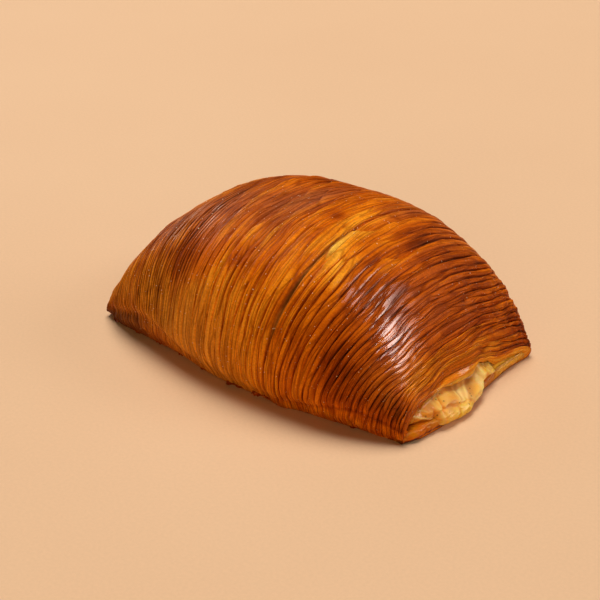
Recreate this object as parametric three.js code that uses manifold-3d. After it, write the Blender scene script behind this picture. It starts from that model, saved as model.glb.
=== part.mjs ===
import * as THREE from 'three';
import Module from 'manifold-3d';

// Sizes in millimetres. X runs from the closed end to the mouth, Y across, Z up from the table.
const LENGTH = 127;
const CLOSED_HALF_WIDTH = 38.3;
const MOUTH_HALF_WIDTH = 36.4;
const MIDDLE_HALF_WIDTH = 49.3;
const WIDTH_POWER = 1.16;
const CLOSED_END_HEIGHT = 9.9;
const MOUTH_HEIGHT = 8.8;
const DOME_HEIGHT = 49.1;
const DOME_END_POWER = 3.06;
const DOME_SIDE_POWER = 0.8;
const SECTION_WIDTH_POWER = 2.4;
const SECTION_HEIGHT_POWER = 3.08;
const CLOSED_SECTION_POWER = 2.48;
const MOUTH_SECTION_POWER = 3.5;
const UNDERCUT = 0.13;
const UNDERCUT_REACH = 0.35;
const MOUTH_UNDERCUT = 0.06;
const MOUTH_START = 0.9;
const CLOSED_END_BOW = 0.8;
const CLOSED_ROUNDING = 0.035;
const CLOSED_ROUNDING_REACH = 0.04;
const MOUTH_BOW = 3.76;
const BOW_AT = 40;
const SIDE_OFFSET = 0.5;

// Where the foot is tucked further in or stands further out, as a share of the half width.
const FOOT_PARTS = [
  { s: 0.05, spread: 0.07, cut: -0.055 },
  { s: 0.29, spread: 0.09, cut: 0.036 },
  { s: 0.66, spread: 0.03, cut: -0.03 },
  { s: 0.925, spread: 0.03, cut: -0.018 },
];

// Baked layers: ridges that run round the body, from foot to foot.
const RIDGE_COUNT = 68;
const RIDGE_CREST = 0.45;
const RIDGE_GROOVE = 0.75;
const RIDGE_TOP_SHARE = 0.55;
const RIDGE_JITTER = 0.22;
const RIDGE_WOBBLE = 0.3;
const RIDGE_CLIMB = 0.6;
const RIDGE_SIDE_REACH = 42;
const RIDGE_TOP_BLEND = 22;
const RIDGE_DEPTH_VARIES = 0.45;
const RIDGE_DEPTH_PATCH = 14;
const RIDGE_FOOT_FADE = 4;
const RIDGE_WOBBLE_PATCH = 9;
const RIDGE_WOBBLE_FADE = 8;
const LEAN_START = 6;
const LEAN_REACH = 52;
const SPLIT_RIDGE = 41;
const SPLIT_DEPTH = 0.9;
const SPLIT_START = 14;
const SPLIT_REACH = 12;

// How far the ridges lean along X above the foot, as a share of the length.
const LEANS = [
  { s: 0.78, spread: 0.2, amount: 0.078 },
  { s: 0.17, spread: 0.12, amount: -0.03 },
];

// Millimetres from the foot over which the waves and swells grow to their full height.
const UNEVEN_FOOT = 12;

// Long waves of the baked body: height, turns along the length, turns for a millimetre across, and start.
const UNEVEN_WAVES = [
  { height: 0.25, along: 9, across: 0.06, start: 0 },
  { height: 0.25, along: 17, across: -0.05, start: 1.3 },
];

// Broad swells and dents of the dome: place along the body, angle in degrees, spreads and height.
const SWELLS = [
  { s: 0.55, angle: 56, along: 0.08, across: 24, height: 0.9 },
  { s: 0.9, angle: 34, along: 0.06, across: 22, height: 0.8 },
  { s: 0.76, angle: 44, along: 0.06, across: 22, height: -0.5 },
  { s: 0.2, angle: 82, along: 0.07, across: 26, height: -0.2 },
];

// The folded edge of the top layer, low on both long sides.
const CREASE_DEPTH = 1.3;
const CREASE_WIDTH = 2.2;
const CREASE_LOWEST = 3.2;
const CREASE_RISES = [
  { s: 0.2, spread: 0.14, rise: 8.2 },
  { s: 0.87, spread: 0.12, rise: 5.4 },
];
const CREASE_MIDDLE_SHARE = 0.25;
const CREASE_END_GAIN = 1.6;

// Shares of the length over which relief fades out towards both ends.
const UNEVEN_FADE = 0.1;
const LEAN_FADE = 0.08;
const CREASE_FADE = 0.04;

// Stations round a section, by distance along the middle section from a foot.
const FOOT_STEP = 3.2;
const FOOT_STEPS = 4;
const ARCH_STEP = 6.4;
const BASE_POINTS = 10;

// The pinched seam at the closed end: rings from its bottom outwards, by X, share of the height and width.
const SEAM_HEIGHT = 4.3;
const SEAM_RINGS = [
  { x: 2.2, scale: 0.12, width: 0.93 },
  { x: -0.32, scale: 0.4, width: 0.965 },
  { x: -0.8, scale: 0.76, width: 0.985 },
];

// The mouth: an upper lip with a rolled edge, and a lower lip that sticks out below it.
const UPPER_LIP_WALL = 2.2;
const LIP_START = 0.975;
const LOWER_LIP_REACH = 3.3;
const LOWER_LIP_CENTRE = -17;
const LOWER_LIP_SPREAD = 19;
const LOWER_LIP_SETBACK = 0.4;
const LOWER_LIP_HOLLOW = { depth: 0.8, at: 24, spread: 9 };
const LOWER_LIP_EDGE = 1.6;
const LIP_WAVE = { from: 0.94, height: 0.7, length: 3.9, start: 0.6, at: -2, spread: 20 };
const LIP_ROLL = { out: 0.9, at: -3, spread: 8, rise: 5 };

// Across the mouth: height of the upper lip as a share of the mouth's height, its wall, and the height of
// the lower lip. The lip is high at the near side, thick in the middle and low at the far side.
const LIP_PROFILE = [
  { y: -36, rise: 1.1, wall: 1.5, low: 3.4 },
  { y: -25, rise: 1.28, wall: 1.5, low: 4.2 },
  { y: -14, rise: 1.28, wall: 1.7, low: 3.4 },
  { y: -7, rise: 1.24, wall: 3.5, low: 3.4 },
  { y: 4, rise: 1.22, wall: 3.9, low: 3.4 },
  { y: 8, rise: 1.2, wall: 1.5, low: 3.4 },
  { y: 13, rise: 1.0, wall: 1.4, low: 4.0 },
  { y: 21, rise: 0.82, wall: 1.6, low: 4.4 },
  { y: 29, rise: 0.82, wall: 2.6, low: 3.8 },
  { y: 36, rise: 0.8, wall: 1.8, low: 3.4 },
];

// Rings that turn round the lips: share of the way to the opening, how far the upper lip stands out,
// and the height and setback of the lower lip.
const LIP_RINGS = [
  { share: 0.3, out: 0.7, low: 0.35, forward: 0.4 },
  { share: 0.75, out: 0.5, low: 0.85, forward: -0.3 },
];

// The wall of the crust and the room inside it.
const CRUST_WALL = 10;
const FLOOR = 3.4;
const CAVITY_START = 0.085;
const CAVITY_END = 0.985;
const CAVITY_RINGS = 10;
const CAVITY_END_SCALE = 0.6;
const CAVITY_END_STEP = 0.012;
const NODE_GAP = 0.55;
const CORE_GAP = 0.5;
const CORE_MOUTH_GAP = 0.5;
const CORE_MOUTH_START = 0.8;
const FILLING_TOLERANCE = 0.02;

// Fruit pieces at the mouth: place of the middle, half sizes, and turns about X, Y and Z in degrees.
const FRUIT_PIECES = [
  { name: 'tall slice', at: [67.0, -1.4, 5.3], half: [2.9, 8.6, 5.0], turns: [0, -28, 12] },
  { name: 'clear slice', at: [66.5, -12.0, 5.6], half: [2.9, 7.4, 4.9], turns: [0, -30, 0] },
  { name: 'front lump', at: [69.2, -11.0, 2.4], half: [2.8, 6.6, 2.4], turns: [0, 6, -8] },
  { name: 'wedge', at: [65.8, -20.4, 5.4], half: [2.9, 6.2, 3.7], turns: [0, -24, -8] },
  { name: 'front wedge', at: [68.6, -17.8, 3.0], half: [2.5, 5.2, 2.6], turns: [0, -10, -14] },
  { name: 'near strip', at: [64.3, -26.4, 5.6], half: [2.3, 5.6, 2.1], turns: [0, 0, -12] },
  { name: 'small lobe', at: [65.4, 7.4, 7.0], half: [2.2, 3.4, 3.2], turns: [0, -20, 10] },
  { name: 'far strip', at: [64.6, 14.2, 4.9], half: [2.3, 7.0, 1.4], turns: [0, 0, 10] },
];
const FRUIT_AROUND = 14;
const FRUIT_ALONG = 9;

const CRUST_COLOUR = 0xb8681f;
const FILLING_COLOUR = 0xe9c987;

const wasm = await Module();
wasm.setup();

const clamp01 = (v) => Math.min(1, Math.max(0, v));
const smooth = (v) => clamp01(v) * clamp01(v) * (3 - 2 * clamp01(v));
const signedPower = (v, p) => Math.sign(v) * Math.abs(v) ** p;
const bump = (v, centre, spread) => Math.exp(-(((v - centre) / spread) ** 2));
const mix = (a, b, share) => a + (b - a) * share;

// A repeatable number between -1 and 1 for a whole number and a seed.
function scatter(index, seed) {
  const v = Math.sin(index * 12.9898 + seed * 78.233) * 43758.5453;
  return 2 * (v - Math.floor(v)) - 1;
}

// Scatter joined smoothly along a line.
function softScatter(place, seed) {
  const index = Math.floor(place);
  return mix(scatter(index, seed), scatter(index + 1, seed), smooth(place - index));
}

// 0 over most of the body, rising to 1 at the mouth.
function mouthShare(s) {
  return smooth((s - MOUTH_START) / (1 - MOUTH_START));
}

// A value of the lip profile at a place across the mouth.
function lipValue(name, y) {
  const next = LIP_PROFILE.findIndex((entry) => entry.y > y);
  if (next < 1) {
    return LIP_PROFILE[next < 0 ? LIP_PROFILE.length - 1 : 0][name];
  }
  const [a, b] = [LIP_PROFILE[next - 1], LIP_PROFILE[next]];
  return mix(a[name], b[name], smooth((y - a.y) / (b.y - a.y)));
}

// Blends a value of the lip profile in over the last part of the body.
function nearLip(s, plain, name, y) {
  return mix(plain, lipValue(name, y), smooth((s - LIP_START) / (1 - LIP_START)));
}

function halfWidth(s) {
  const u = 2 * s - 1;
  const rounded = CLOSED_HALF_WIDTH * (1 - CLOSED_ROUNDING * bump(s, 0, CLOSED_ROUNDING_REACH));
  const end = mix(rounded, MOUTH_HALF_WIDTH, mouthShare(s));
  return mix(end, MIDDLE_HALF_WIDTH, Math.max(0, 1 - u * u) ** WIDTH_POWER);
}

function height(s) {
  const u = 2 * s - 1;
  const low = mix(CLOSED_END_HEIGHT, MOUTH_HEIGHT, s);
  return mix(low, DOME_HEIGHT, Math.max(0, 1 - Math.abs(u) ** DOME_END_POWER) ** DOME_SIDE_POWER);
}

// The smooth body: s runs from 0 at the closed end to 1 at the mouth, angle from PI to 0 over the top.
function body(s, angle) {
  const u = 2 * s - 1;
  const endPower = mix(CLOSED_SECTION_POWER, MOUTH_SECTION_POWER, mouthShare(s));
  const widthPower = mix(endPower, SECTION_WIDTH_POWER, 1 - u ** 4);
  const heightPower = mix(endPower, SECTION_HEIGHT_POWER, 1 - u ** 4);
  const rise = Math.max(0, Math.sin(angle)) ** (2 / heightPower);
  const start = UNDERCUT - MOUTH_UNDERCUT * mouthShare(s);
  const cut = FOOT_PARTS.reduce((sum, part) => sum + part.cut * bump(s, part.s, part.spread), start);
  const under = cut * clamp01(1 - rise / UNDERCUT_REACH) ** 2;
  const y = signedPower(Math.cos(angle), 2 / widthPower) * halfWidth(s) * (1 - under);
  const bow = mix(CLOSED_END_BOW, MOUTH_BOW, s) * (y / BOW_AT) ** 2;
  const wave = LIP_WAVE.height * Math.sin(y / LIP_WAVE.length + LIP_WAVE.start);
  const waveFade = smooth((s - LIP_WAVE.from) / (1 - LIP_WAVE.from));
  return new THREE.Vector3(
    (s - 0.5) * LENGTH + bow + wave * waveFade * bump(y, LIP_WAVE.at, LIP_WAVE.spread),
    y + SIDE_OFFSET * (1 - u * u),
    rise * height(s) * nearLip(s, 1, 'rise', y),
  );
}

function bodyNormal(s, angle) {
  const step = 0.002;
  const edge = 2 * step;
  const s0 = Math.min(1 - edge, Math.max(edge, s));
  const a0 = Math.min(Math.PI - edge, Math.max(edge, angle));
  const along = body(s0 + step, a0).sub(body(s0 - step, a0));
  const across = body(s0, a0 - step).sub(body(s0, a0 + step));
  return along.cross(across).normalize();
}

// Angles of the stations round a section, from the near foot (negative Y) to the far foot.
function archStations() {
  const fine = 4000;
  const angles = [];
  const reach = [];
  let length = 0;
  let last = body(0.5, Math.PI);
  for (let i = 0; i <= fine; i += 1) {
    const angle = Math.PI * (1 - i / fine);
    const point = body(0.5, angle);
    length += point.distanceTo(last);
    angles.push(angle);
    reach.push(length);
    last = point;
  }
  const wanted = [];
  for (let i = 0; i < FOOT_STEPS; i += 1) {
    wanted.push(i * FOOT_STEP);
  }
  const middle = length - 2 * FOOT_STEPS * FOOT_STEP;
  const steps = Math.round(middle / ARCH_STEP);
  for (let i = 0; i <= steps; i += 1) {
    wanted.push(FOOT_STEPS * FOOT_STEP + (middle * i) / steps);
  }
  for (let i = FOOT_STEPS - 1; i >= 0; i -= 1) {
    wanted.push(length - i * FOOT_STEP);
  }
  return wanted.map((distance) => {
    const i = reach.findIndex((value) => value >= distance - 1e-9);
    return { angle: angles[i < 0 ? fine : i], foot: Math.min(distance, length - distance), distance };
  });
}

// Places of ridge columns: even steps along a line that climbs the ends with part of the height.
function ridgePlaces(columns) {
  const fine = 2000;
  const reach = [0];
  for (let i = 1; i <= fine; i += 1) {
    const climb = RIDGE_CLIMB * (height(i / fine) - height((i - 1) / fine));
    reach.push(reach[i - 1] + Math.hypot(LENGTH / fine, climb));
  }
  const places = [];
  let i = 0;
  for (let column = 0; column <= columns; column += 1) {
    const wanted = (reach[fine] * column) / columns;
    while (i < fine - 1 && reach[i + 1] < wanted) {
      i += 1;
    }
    places.push((i + clamp01((wanted - reach[i]) / (reach[i + 1] - reach[i]))) / fine);
  }
  return places;
}

// Height of the folded edge of the top layer.
function creaseHeight(s) {
  return CREASE_RISES.reduce((sum, part) => sum + part.rise * bump(s, part.s, part.spread), CREASE_LOWEST);
}

// Fades relief out over a share of the length at both ends.
function endFade(s, share) {
  return Math.min(1, s / share, (1 - s) / share);
}

// How far ridges lean along X, as a share of the length, at a distance from the foot.
function lean(s, foot) {
  const amount = LEANS.reduce((sum, part) => sum + part.amount * bump(s, part.s, part.spread), 0);
  return amount * endFade(s, LEAN_FADE) * smooth((foot - LEAN_START) / LEAN_REACH);
}

// Broad unevenness of the baked body.
function uneven(s, station) {
  let raise = 0;
  for (const wave of UNEVEN_WAVES) {
    raise += wave.height * Math.sin(wave.along * s + wave.across * station.distance + wave.start);
  }
  for (const swell of SWELLS) {
    const angle = THREE.MathUtils.radToDeg(station.angle);
    raise += swell.height * bump(s, swell.s, swell.along) * bump(angle, swell.angle, swell.across);
  }
  return raise * endFade(s, UNEVEN_FADE) * smooth(station.foot / UNEVEN_FOOT);
}

// Height of the layers over the smooth body: crests on even columns, grooves on odd ones.
function relief(column, columns, station) {
  const ridge = column >> 1;
  const side = mix(1, RIDGE_TOP_SHARE, smooth((station.foot - RIDGE_SIDE_REACH) / RIDGE_TOP_BLEND));
  const vary = 1 + RIDGE_DEPTH_VARIES * softScatter(station.distance / RIDGE_DEPTH_PATCH, ridge * 2 + 5);
  const fade = Math.min(1, column / 2, (columns - column) / 2) * smooth(station.foot / RIDGE_FOOT_FADE);
  const splitDepth = SPLIT_DEPTH * smooth((station.foot - SPLIT_START) / SPLIT_REACH);
  const split = ridge === SPLIT_RIDGE ? splitDepth : 0;
  const level = column % 2 === 0 ? RIDGE_CREST : -RIDGE_GROOVE - split;
  return level * side * vary * fade;
}

function crease(s, z) {
  const strength = mix(CREASE_MIDDLE_SHARE, 1, Math.min(1, Math.abs(2 * s - 1) * CREASE_END_GAIN));
  return -CREASE_DEPTH * strength * endFade(s, CREASE_FADE) * bump(z, creaseHeight(s), CREASE_WIDTH);
}

// One point of the outer face. Grow moves it outwards; plain leaves out the layers.
function outerPoint(column, places, station, grow, plain) {
  const columns = places.length - 1;
  const base = places[column];
  const pitch = column > 0 && column < columns ? 0.5 * (places[column + 1] - places[column - 1]) : 0;
  const wobbleFade = smooth(station.foot / RIDGE_WOBBLE_FADE);
  const wobble = softScatter(station.distance / RIDGE_WOBBLE_PATCH, column) * wobbleFade;
  const shift = pitch * (RIDGE_JITTER * scatter(column, 3) + RIDGE_WOBBLE * wobble);
  const s = plain ? base : base + shift + lean(base, station.foot);
  const point = body(s, station.angle);
  const normal = bodyNormal(s, station.angle);
  const raise = plain ? 0 : relief(column, columns, station) + uneven(s, station) + crease(s, point.z);
  point.addScaledVector(normal, raise + grow);
  point.z = Math.max(-grow, point.z);
  if (station.foot === 0) {
    point.z = -grow;
  }
  return point;
}

// Front line of the lower lip, in X.
function lowerLip(y) {
  const corner = 0.5 * LENGTH + MOUTH_BOW * (MOUTH_HALF_WIDTH / BOW_AT) ** 2;
  const reach = LOWER_LIP_REACH * bump(y, LOWER_LIP_CENTRE, LOWER_LIP_SPREAD);
  const hollow = LOWER_LIP_HOLLOW.depth * bump(y, LOWER_LIP_HOLLOW.at, LOWER_LIP_HOLLOW.spread);
  return corner + reach - hollow - LOWER_LIP_SETBACK;
}

// Y of the points between the far foot and the near foot of a ring.
function baseSteps(farY, nearY) {
  const steps = [];
  for (let i = 1; i <= BASE_POINTS; i += 1) {
    steps.push(mix(farY, nearY, i / (BASE_POINTS + 1)));
  }
  return steps;
}

// A closed ring: over the top from the near foot to the far foot, and back along the base.
function closeRing(arch, baseX, baseZ) {
  const far = arch[arch.length - 1];
  const base = baseSteps(far.y, arch[0].y).map((y) => new THREE.Vector3(baseX(y, far.x), y, baseZ));
  return [...arch, ...base];
}

// 1 in the middle of an edge, falling to 0 at its corners.
function squareShare(y, halfWide) {
  return 1 - clamp01(Math.abs(y) / halfWide) ** 4;
}

// Rings of the closed end, from the bottom of the seam out to the body.
function closedEndRings(outer, grow) {
  return SEAM_RINGS.map((level) => outer.map((point) => new THREE.Vector3(
    point.x + level.x * (level.x > 0 ? 1 : squareShare(point.y, CLOSED_HALF_WIDTH)) - grow,
    point.y * level.width,
    SEAM_HEIGHT + (point.z - SEAM_HEIGHT) * level.scale,
  )));
}

function cavityWall(s) {
  return mix(UPPER_LIP_WALL, CRUST_WALL, 1 - Math.abs(2 * s - 1) ** 6);
}

// Places of the rings of the room, close together near both ends.
function cavityPlaces() {
  const places = [];
  for (let i = 0; i < CAVITY_RINGS; i += 1) {
    const share = 0.5 + 0.5 * Math.cos((Math.PI * i) / (CAVITY_RINGS - 1));
    places.push(mix(CAVITY_START, CAVITY_END, share));
  }
  return places;
}

// One ring of the room inside the crust.
function cavityRing(s, stations, grow, scale) {
  const floor = FLOOR + grow;
  const width = (halfWidth(s) - cavityWall(s) - 2 * grow) / halfWidth(s);
  const middle = 0.5 * (height(s) - cavityWall(s) + FLOOR);
  const inwards = grow * signedPower(1 - 2 * s, 3);
  const arch = stations.map((station) => {
    const point = body(s, station.angle);
    const top = height(s) * nearLip(s, 1, 'rise', point.y);
    const wall = nearLip(s, cavityWall(s), 'wall', point.y) + grow;
    const z = floor + (point.z * (top - wall - floor)) / top;
    return new THREE.Vector3(point.x + inwards, point.y * width * scale, middle + (z - middle) * scale);
  });
  const low = middle + (floor - middle) * scale;
  return closeRing(arch, (y, x) => x, low);
}

// Rings from the outer edge of the mouth round both lips to the room inside. The upper lip stands out
// further in the middle.
function mouthRings(outer, stations, grow) {
  const count = stations.length;
  const opening = cavityRing(1, stations, grow, 1);
  const lowTop = (y) => lipValue('low', y) + grow;
  const rings = LIP_RINGS.map((level) => outer.map((point, i) => {
    const inner = opening[i];
    if (i >= count) {
      const z = mix(-grow, lowTop(point.y), level.low);
      return new THREE.Vector3(point.x + level.forward + grow, point.y, z);
    }
    const rise = smooth(point.z / LIP_ROLL.rise) * squareShare(point.y, MOUTH_HALF_WIDTH);
    const out = level.out + LIP_ROLL.out * bump(point.y, LIP_ROLL.at, LIP_ROLL.spread);
    return new THREE.Vector3(
      point.x + out * rise + grow,
      mix(point.y, inner.y, level.share),
      mix(point.z, inner.z, level.share),
    );
  }));
  rings.push(opening.map((point, i) => {
    if (i < count) {
      return point;
    }
    const x = Math.max(lowerLip(point.y) - LOWER_LIP_EDGE, point.x);
    return new THREE.Vector3(x, point.y, lowTop(point.y));
  }));
  return rings;
}

// Joins rings of equal length into a closed mesh that faces outwards.
class Shell {
  constructor() {
    this.points = [];
    this.triangles = [];
  }

  addRing(ring) {
    const first = this.points.length;
    this.points.push(...ring);
    return ring.map((_, i) => first + i);
  }

  join(a, b, from, to) {
    for (let i = from; i < to; i += 1) {
      const next = (i + 1) % a.length;
      const straight = this.points[a[i]].distanceTo(this.points[b[next]]);
      const other = this.points[b[i]].distanceTo(this.points[a[next]]);
      if (straight <= other) {
        this.triangles.push([a[i], b[i], b[next]], [a[i], b[next], a[next]]);
      } else {
        this.triangles.push([a[i], b[i], a[next]], [b[i], b[next], a[next]]);
      }
    }
  }

  // Closes a flat outline; facing is the way the face looks.
  cap(outline, flat, facing) {
    const contour = outline.map((i) => flat(this.points[i]));
    for (const face of THREE.ShapeUtils.triangulateShape(contour, [])) {
      const [a, b, c] = face.map((i) => outline[i]);
      const ab = this.points[b].clone().sub(this.points[a]);
      const ac = this.points[c].clone().sub(this.points[a]);
      const looks = ab.cross(ac).dot(facing);
      this.triangles.push(looks > 0 ? [a, b, c] : [a, c, b]);
    }
  }

  geometry() {
    const geometry = new THREE.BufferGeometry();
    const flat = this.points.flatMap((point) => [point.x, point.y, point.z]);
    geometry.setAttribute('position', new THREE.Float32BufferAttribute(flat, 3));
    geometry.setIndex(this.triangles.flat());
    return geometry;
  }
}

const flatYZ = (point) => new THREE.Vector2(point.y, point.z);
const flatXY = (point) => new THREE.Vector2(point.x, point.y);

// The crust: one walled body with a room inside that opens at the mouth.
function crustGeometry(columns, stations, grow, plain) {
  const shell = new Shell();
  const arch = stations.length;
  const rings = [];
  const places = ridgePlaces(columns);
  for (let column = 0; column <= columns; column += 1) {
    rings.push(stations.map((station) => outerPoint(column, places, station, grow, plain)));
  }
  rings[0] = closeRing(rings[0], (y, x) => x, -grow);
  rings[columns] = closeRing(rings[columns], (y) => lowerLip(y) + grow, -grow);
  const inside = cavityPlaces().map((s) => cavityRing(s, stations, grow, 1));
  inside.push(cavityRing(CAVITY_START - CAVITY_END_STEP, stations, grow, CAVITY_END_SCALE));
  const before = closedEndRings(rings[0], grow).map((ring) => shell.addRing(ring));
  const outer = rings.map((ring) => shell.addRing(ring));
  const lips = mouthRings(rings[columns], stations, grow);
  const after = [...lips, ...inside].map((ring) => shell.addRing(ring));
  const around = arch + BASE_POINTS;
  const closedEnd = [...before, outer[0]];
  for (let i = 0; i + 1 < closedEnd.length; i += 1) {
    shell.join(closedEnd[i], closedEnd[i + 1], 0, around);
  }
  for (let i = 0; i < columns; i += 1) {
    shell.join(outer[i], outer[i + 1], 0, arch - 1);
  }
  const mouth = [outer[columns], ...after];
  for (let i = 0; i + 1 < mouth.length; i += 1) {
    shell.join(mouth[i], mouth[i + 1], 0, around);
  }
  const base = [
    ...outer.map((ring) => ring[0]),
    ...outer[columns].slice(arch).reverse(),
    ...outer.map((ring) => ring[arch - 1]).reverse(),
    ...outer[0].slice(arch),
  ];
  shell.cap(base, flatXY, new THREE.Vector3(0, 0, -1));
  shell.cap(before[0], flatYZ, new THREE.Vector3(-1, 0, 0));
  shell.cap(after[after.length - 1], flatYZ, new THREE.Vector3(1, 0, 0));
  return shell.geometry();
}

// The compote that fills the room up to the mouth.
function coreGeometry(stations) {
  const shell = new Shell();
  const gap = (s) => CORE_GAP + CORE_MOUTH_GAP * smooth((s - CORE_MOUTH_START) / (1 - CORE_MOUTH_START));
  const rings = cavityPlaces().map((s) => cavityRing(s, stations, gap(s), 1));
  rings.push(cavityRing(CAVITY_START - CAVITY_END_STEP, stations, CORE_GAP, CAVITY_END_SCALE));
  rings.reverse();
  const added = rings.map((ring) => shell.addRing(ring));
  for (let i = 0; i + 1 < added.length; i += 1) {
    shell.join(added[i], added[i + 1], 0, added[i].length);
  }
  shell.cap(added[0], flatYZ, new THREE.Vector3(-1, 0, 0));
  shell.cap(added[added.length - 1], flatYZ, new THREE.Vector3(1, 0, 0));
  return shell.geometry();
}

function fruitGeometry(piece) {
  const geometry = new THREE.SphereGeometry(1, FRUIT_AROUND, FRUIT_ALONG);
  geometry.scale(...piece.half);
  const [x, y, z] = piece.turns.map(THREE.MathUtils.degToRad);
  geometry.rotateX(x);
  geometry.rotateY(y);
  geometry.rotateZ(z);
  geometry.translate(...piece.at);
  return geometry;
}

// Welds points that lie at the same place, to give a closed mesh.
function toSolid(geometry) {
  const index = geometry.index.array;
  const position = geometry.attributes.position;
  const places = new Map();
  const points = [];
  const where = [];
  for (let i = 0; i < position.count; i += 1) {
    const point = [position.getX(i), position.getY(i), position.getZ(i)];
    const key = point.map((v) => Math.round(v * 1e4)).join(',');
    if (!places.has(key)) {
      places.set(key, points.length / 3);
      points.push(...point);
    }
    where.push(places.get(key));
  }
  const triangles = [];
  for (let i = 0; i < index.length; i += 3) {
    const [a, b, c] = [where[index[i]], where[index[i + 1]], where[index[i + 2]]];
    if (a !== b && b !== c && c !== a) {
      triangles.push(a, b, c);
    }
  }
  return new wasm.Manifold(new wasm.Mesh({
    numProp: 3,
    vertProperties: new Float32Array(points),
    triVerts: new Uint32Array(triangles),
  }));
}

function fromSolid(solid) {
  const mesh = solid.getMesh();
  const geometry = new THREE.BufferGeometry();
  geometry.setAttribute('position', new THREE.Float32BufferAttribute(mesh.vertProperties, 3));
  geometry.setIndex(Array.from(mesh.triVerts));
  return geometry;
}

// The filling, cut back so that it stays clear of the crust all round.
function fillingGeometry(stations) {
  let solid = toSolid(coreGeometry(stations));
  for (const piece of FRUIT_PIECES) {
    solid = solid.add(toSolid(fruitGeometry(piece)));
  }
  const clear = toSolid(crustGeometry(2 * RIDGE_COUNT, stations, NODE_GAP, true));
  const parts = solid.subtract(clear).decompose();
  parts.sort((a, b) => b.volume() - a.volume());
  return fromSolid(parts[0].simplify(FILLING_TOLERANCE));
}

function mesh(name, geometry, colour, roughness) {
  geometry.computeVertexNormals();
  const material = new THREE.MeshStandardMaterial({ color: colour, roughness, metalness: 0 });
  const result = new THREE.Mesh(geometry, material);
  result.name = name;
  return result;
}

const stations = archStations();
const group = new THREE.Group();
group.name = 'turnover_pastry';
group.add(mesh('crust', crustGeometry(2 * RIDGE_COUNT, stations, 0, false), CRUST_COLOUR, 0.55));
group.add(mesh('filling', fillingGeometry(stations), FILLING_COLOUR, 0.4));

// Centres the part on the middle of its outline.
const bounds = new THREE.Box3().setFromObject(group);
const centre = bounds.getCenter(new THREE.Vector3());
for (const child of group.children) {
  child.geometry.translate(-centre.x, -centre.y, 0);
}

export default group;
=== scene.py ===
"""Looks of a baked turnover with a ridged, layered crust and a fruit filling at its open end.

The crust and the filling follow the same formulas as the solids, with finer layers, lips and fruit.
Sizes below are in millimetres: X runs from the closed end to the mouth, Y across, Z up.
"""
import math

import bpy
import numpy as np
from mathutils import Euler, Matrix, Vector


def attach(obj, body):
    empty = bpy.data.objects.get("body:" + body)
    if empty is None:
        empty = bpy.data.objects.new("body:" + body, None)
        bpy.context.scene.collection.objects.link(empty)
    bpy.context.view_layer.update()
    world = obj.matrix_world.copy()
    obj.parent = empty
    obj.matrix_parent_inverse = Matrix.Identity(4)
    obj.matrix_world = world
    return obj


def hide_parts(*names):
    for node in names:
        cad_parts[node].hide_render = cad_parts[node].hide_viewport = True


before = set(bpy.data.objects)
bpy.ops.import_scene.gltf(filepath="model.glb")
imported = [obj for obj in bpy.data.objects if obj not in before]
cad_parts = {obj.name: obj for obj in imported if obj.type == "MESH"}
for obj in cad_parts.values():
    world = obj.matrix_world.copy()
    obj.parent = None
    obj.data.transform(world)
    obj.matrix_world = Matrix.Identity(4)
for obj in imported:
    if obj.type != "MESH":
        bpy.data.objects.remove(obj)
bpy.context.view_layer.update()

MM = 0.001
# The solids are centred on their outline; this is how far that moved them.
CENTRE = np.array([3.888, 0.634, 0.0])

# The smooth body, as in the solids.
LENGTH = 127.0
CLOSED_HALF_WIDTH = 38.3
MOUTH_HALF_WIDTH = 36.4
MIDDLE_HALF_WIDTH = 49.3
WIDTH_POWER = 1.16
CLOSED_END_HEIGHT = 9.9
MOUTH_HEIGHT = 8.8
DOME_HEIGHT = 49.1
DOME_END_POWER = 3.06
DOME_SIDE_POWER = 0.8
SECTION_WIDTH_POWER = 2.4
SECTION_HEIGHT_POWER = 3.08
CLOSED_SECTION_POWER = 2.48
MOUTH_SECTION_POWER = 3.5
UNDERCUT = 0.13
UNDERCUT_REACH = 0.35
MOUTH_UNDERCUT = 0.06
MOUTH_START = 0.9
CLOSED_END_BOW = 0.8
CLOSED_ROUNDING = 0.035
CLOSED_ROUNDING_REACH = 0.04
MOUTH_BOW = 3.76
BOW_AT = 40.0
SIDE_OFFSET = 0.5

# Where the foot is tucked further in or stands further out: place, spread, share of the half width.
FOOT_PARTS = ((0.05, 0.07, -0.055), (0.29, 0.09, 0.036), (0.66, 0.03, -0.03), (0.925, 0.03, -0.018))

# The baked layers.
RIDGES = 68
FINE = 10
RIDGE_CREST = 0.45
GROOVE_CUT = 0.95
RIDGE_JITTER = 0.22
RIDGE_WOBBLE = 0.3
RIDGE_CLIMB = 0.6
RIDGE_PITCH = 1.9
GROOVE_BREADTH = 0.122
LINE_BREADTH = 0.15
LINE_CUT = 0.4
LAYER_TILT = 0.16
LEAF_RELIEF = 0.09
SKIRT_RELIEF = 0.45
BAND_RELIEF = 0.95
CRAG_RELIEF = 1.1
CLOSED_END = (0.42, -0.2)
LEAN_START = 6.0
LEAN_REACH = 52.0
LEANS = ((0.78, 0.2, 0.078), (0.17, 0.12, -0.03))
SPLIT_RIDGE = 41
SPLIT_DEPTH = 0.9
UNEVEN = 0.5
CREASE_DEPTH = 1.3
CREASE_WIDTH = 2.2
# The glazed patch, where the layers melt together: place, distance from the near foot, spreads.
GLAZE = (0.87, 54, 0.09, 18)

# Broad swells and dents: place along the body, angle in degrees, spreads and height.
SWELLS = (
    (0.55, 56, 0.08, 24, 0.9), (0.9, 34, 0.06, 22, 0.8),
    (0.76, 44, 0.06, 22, -0.5), (0.2, 82, 0.07, 26, -0.2),
)

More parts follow.
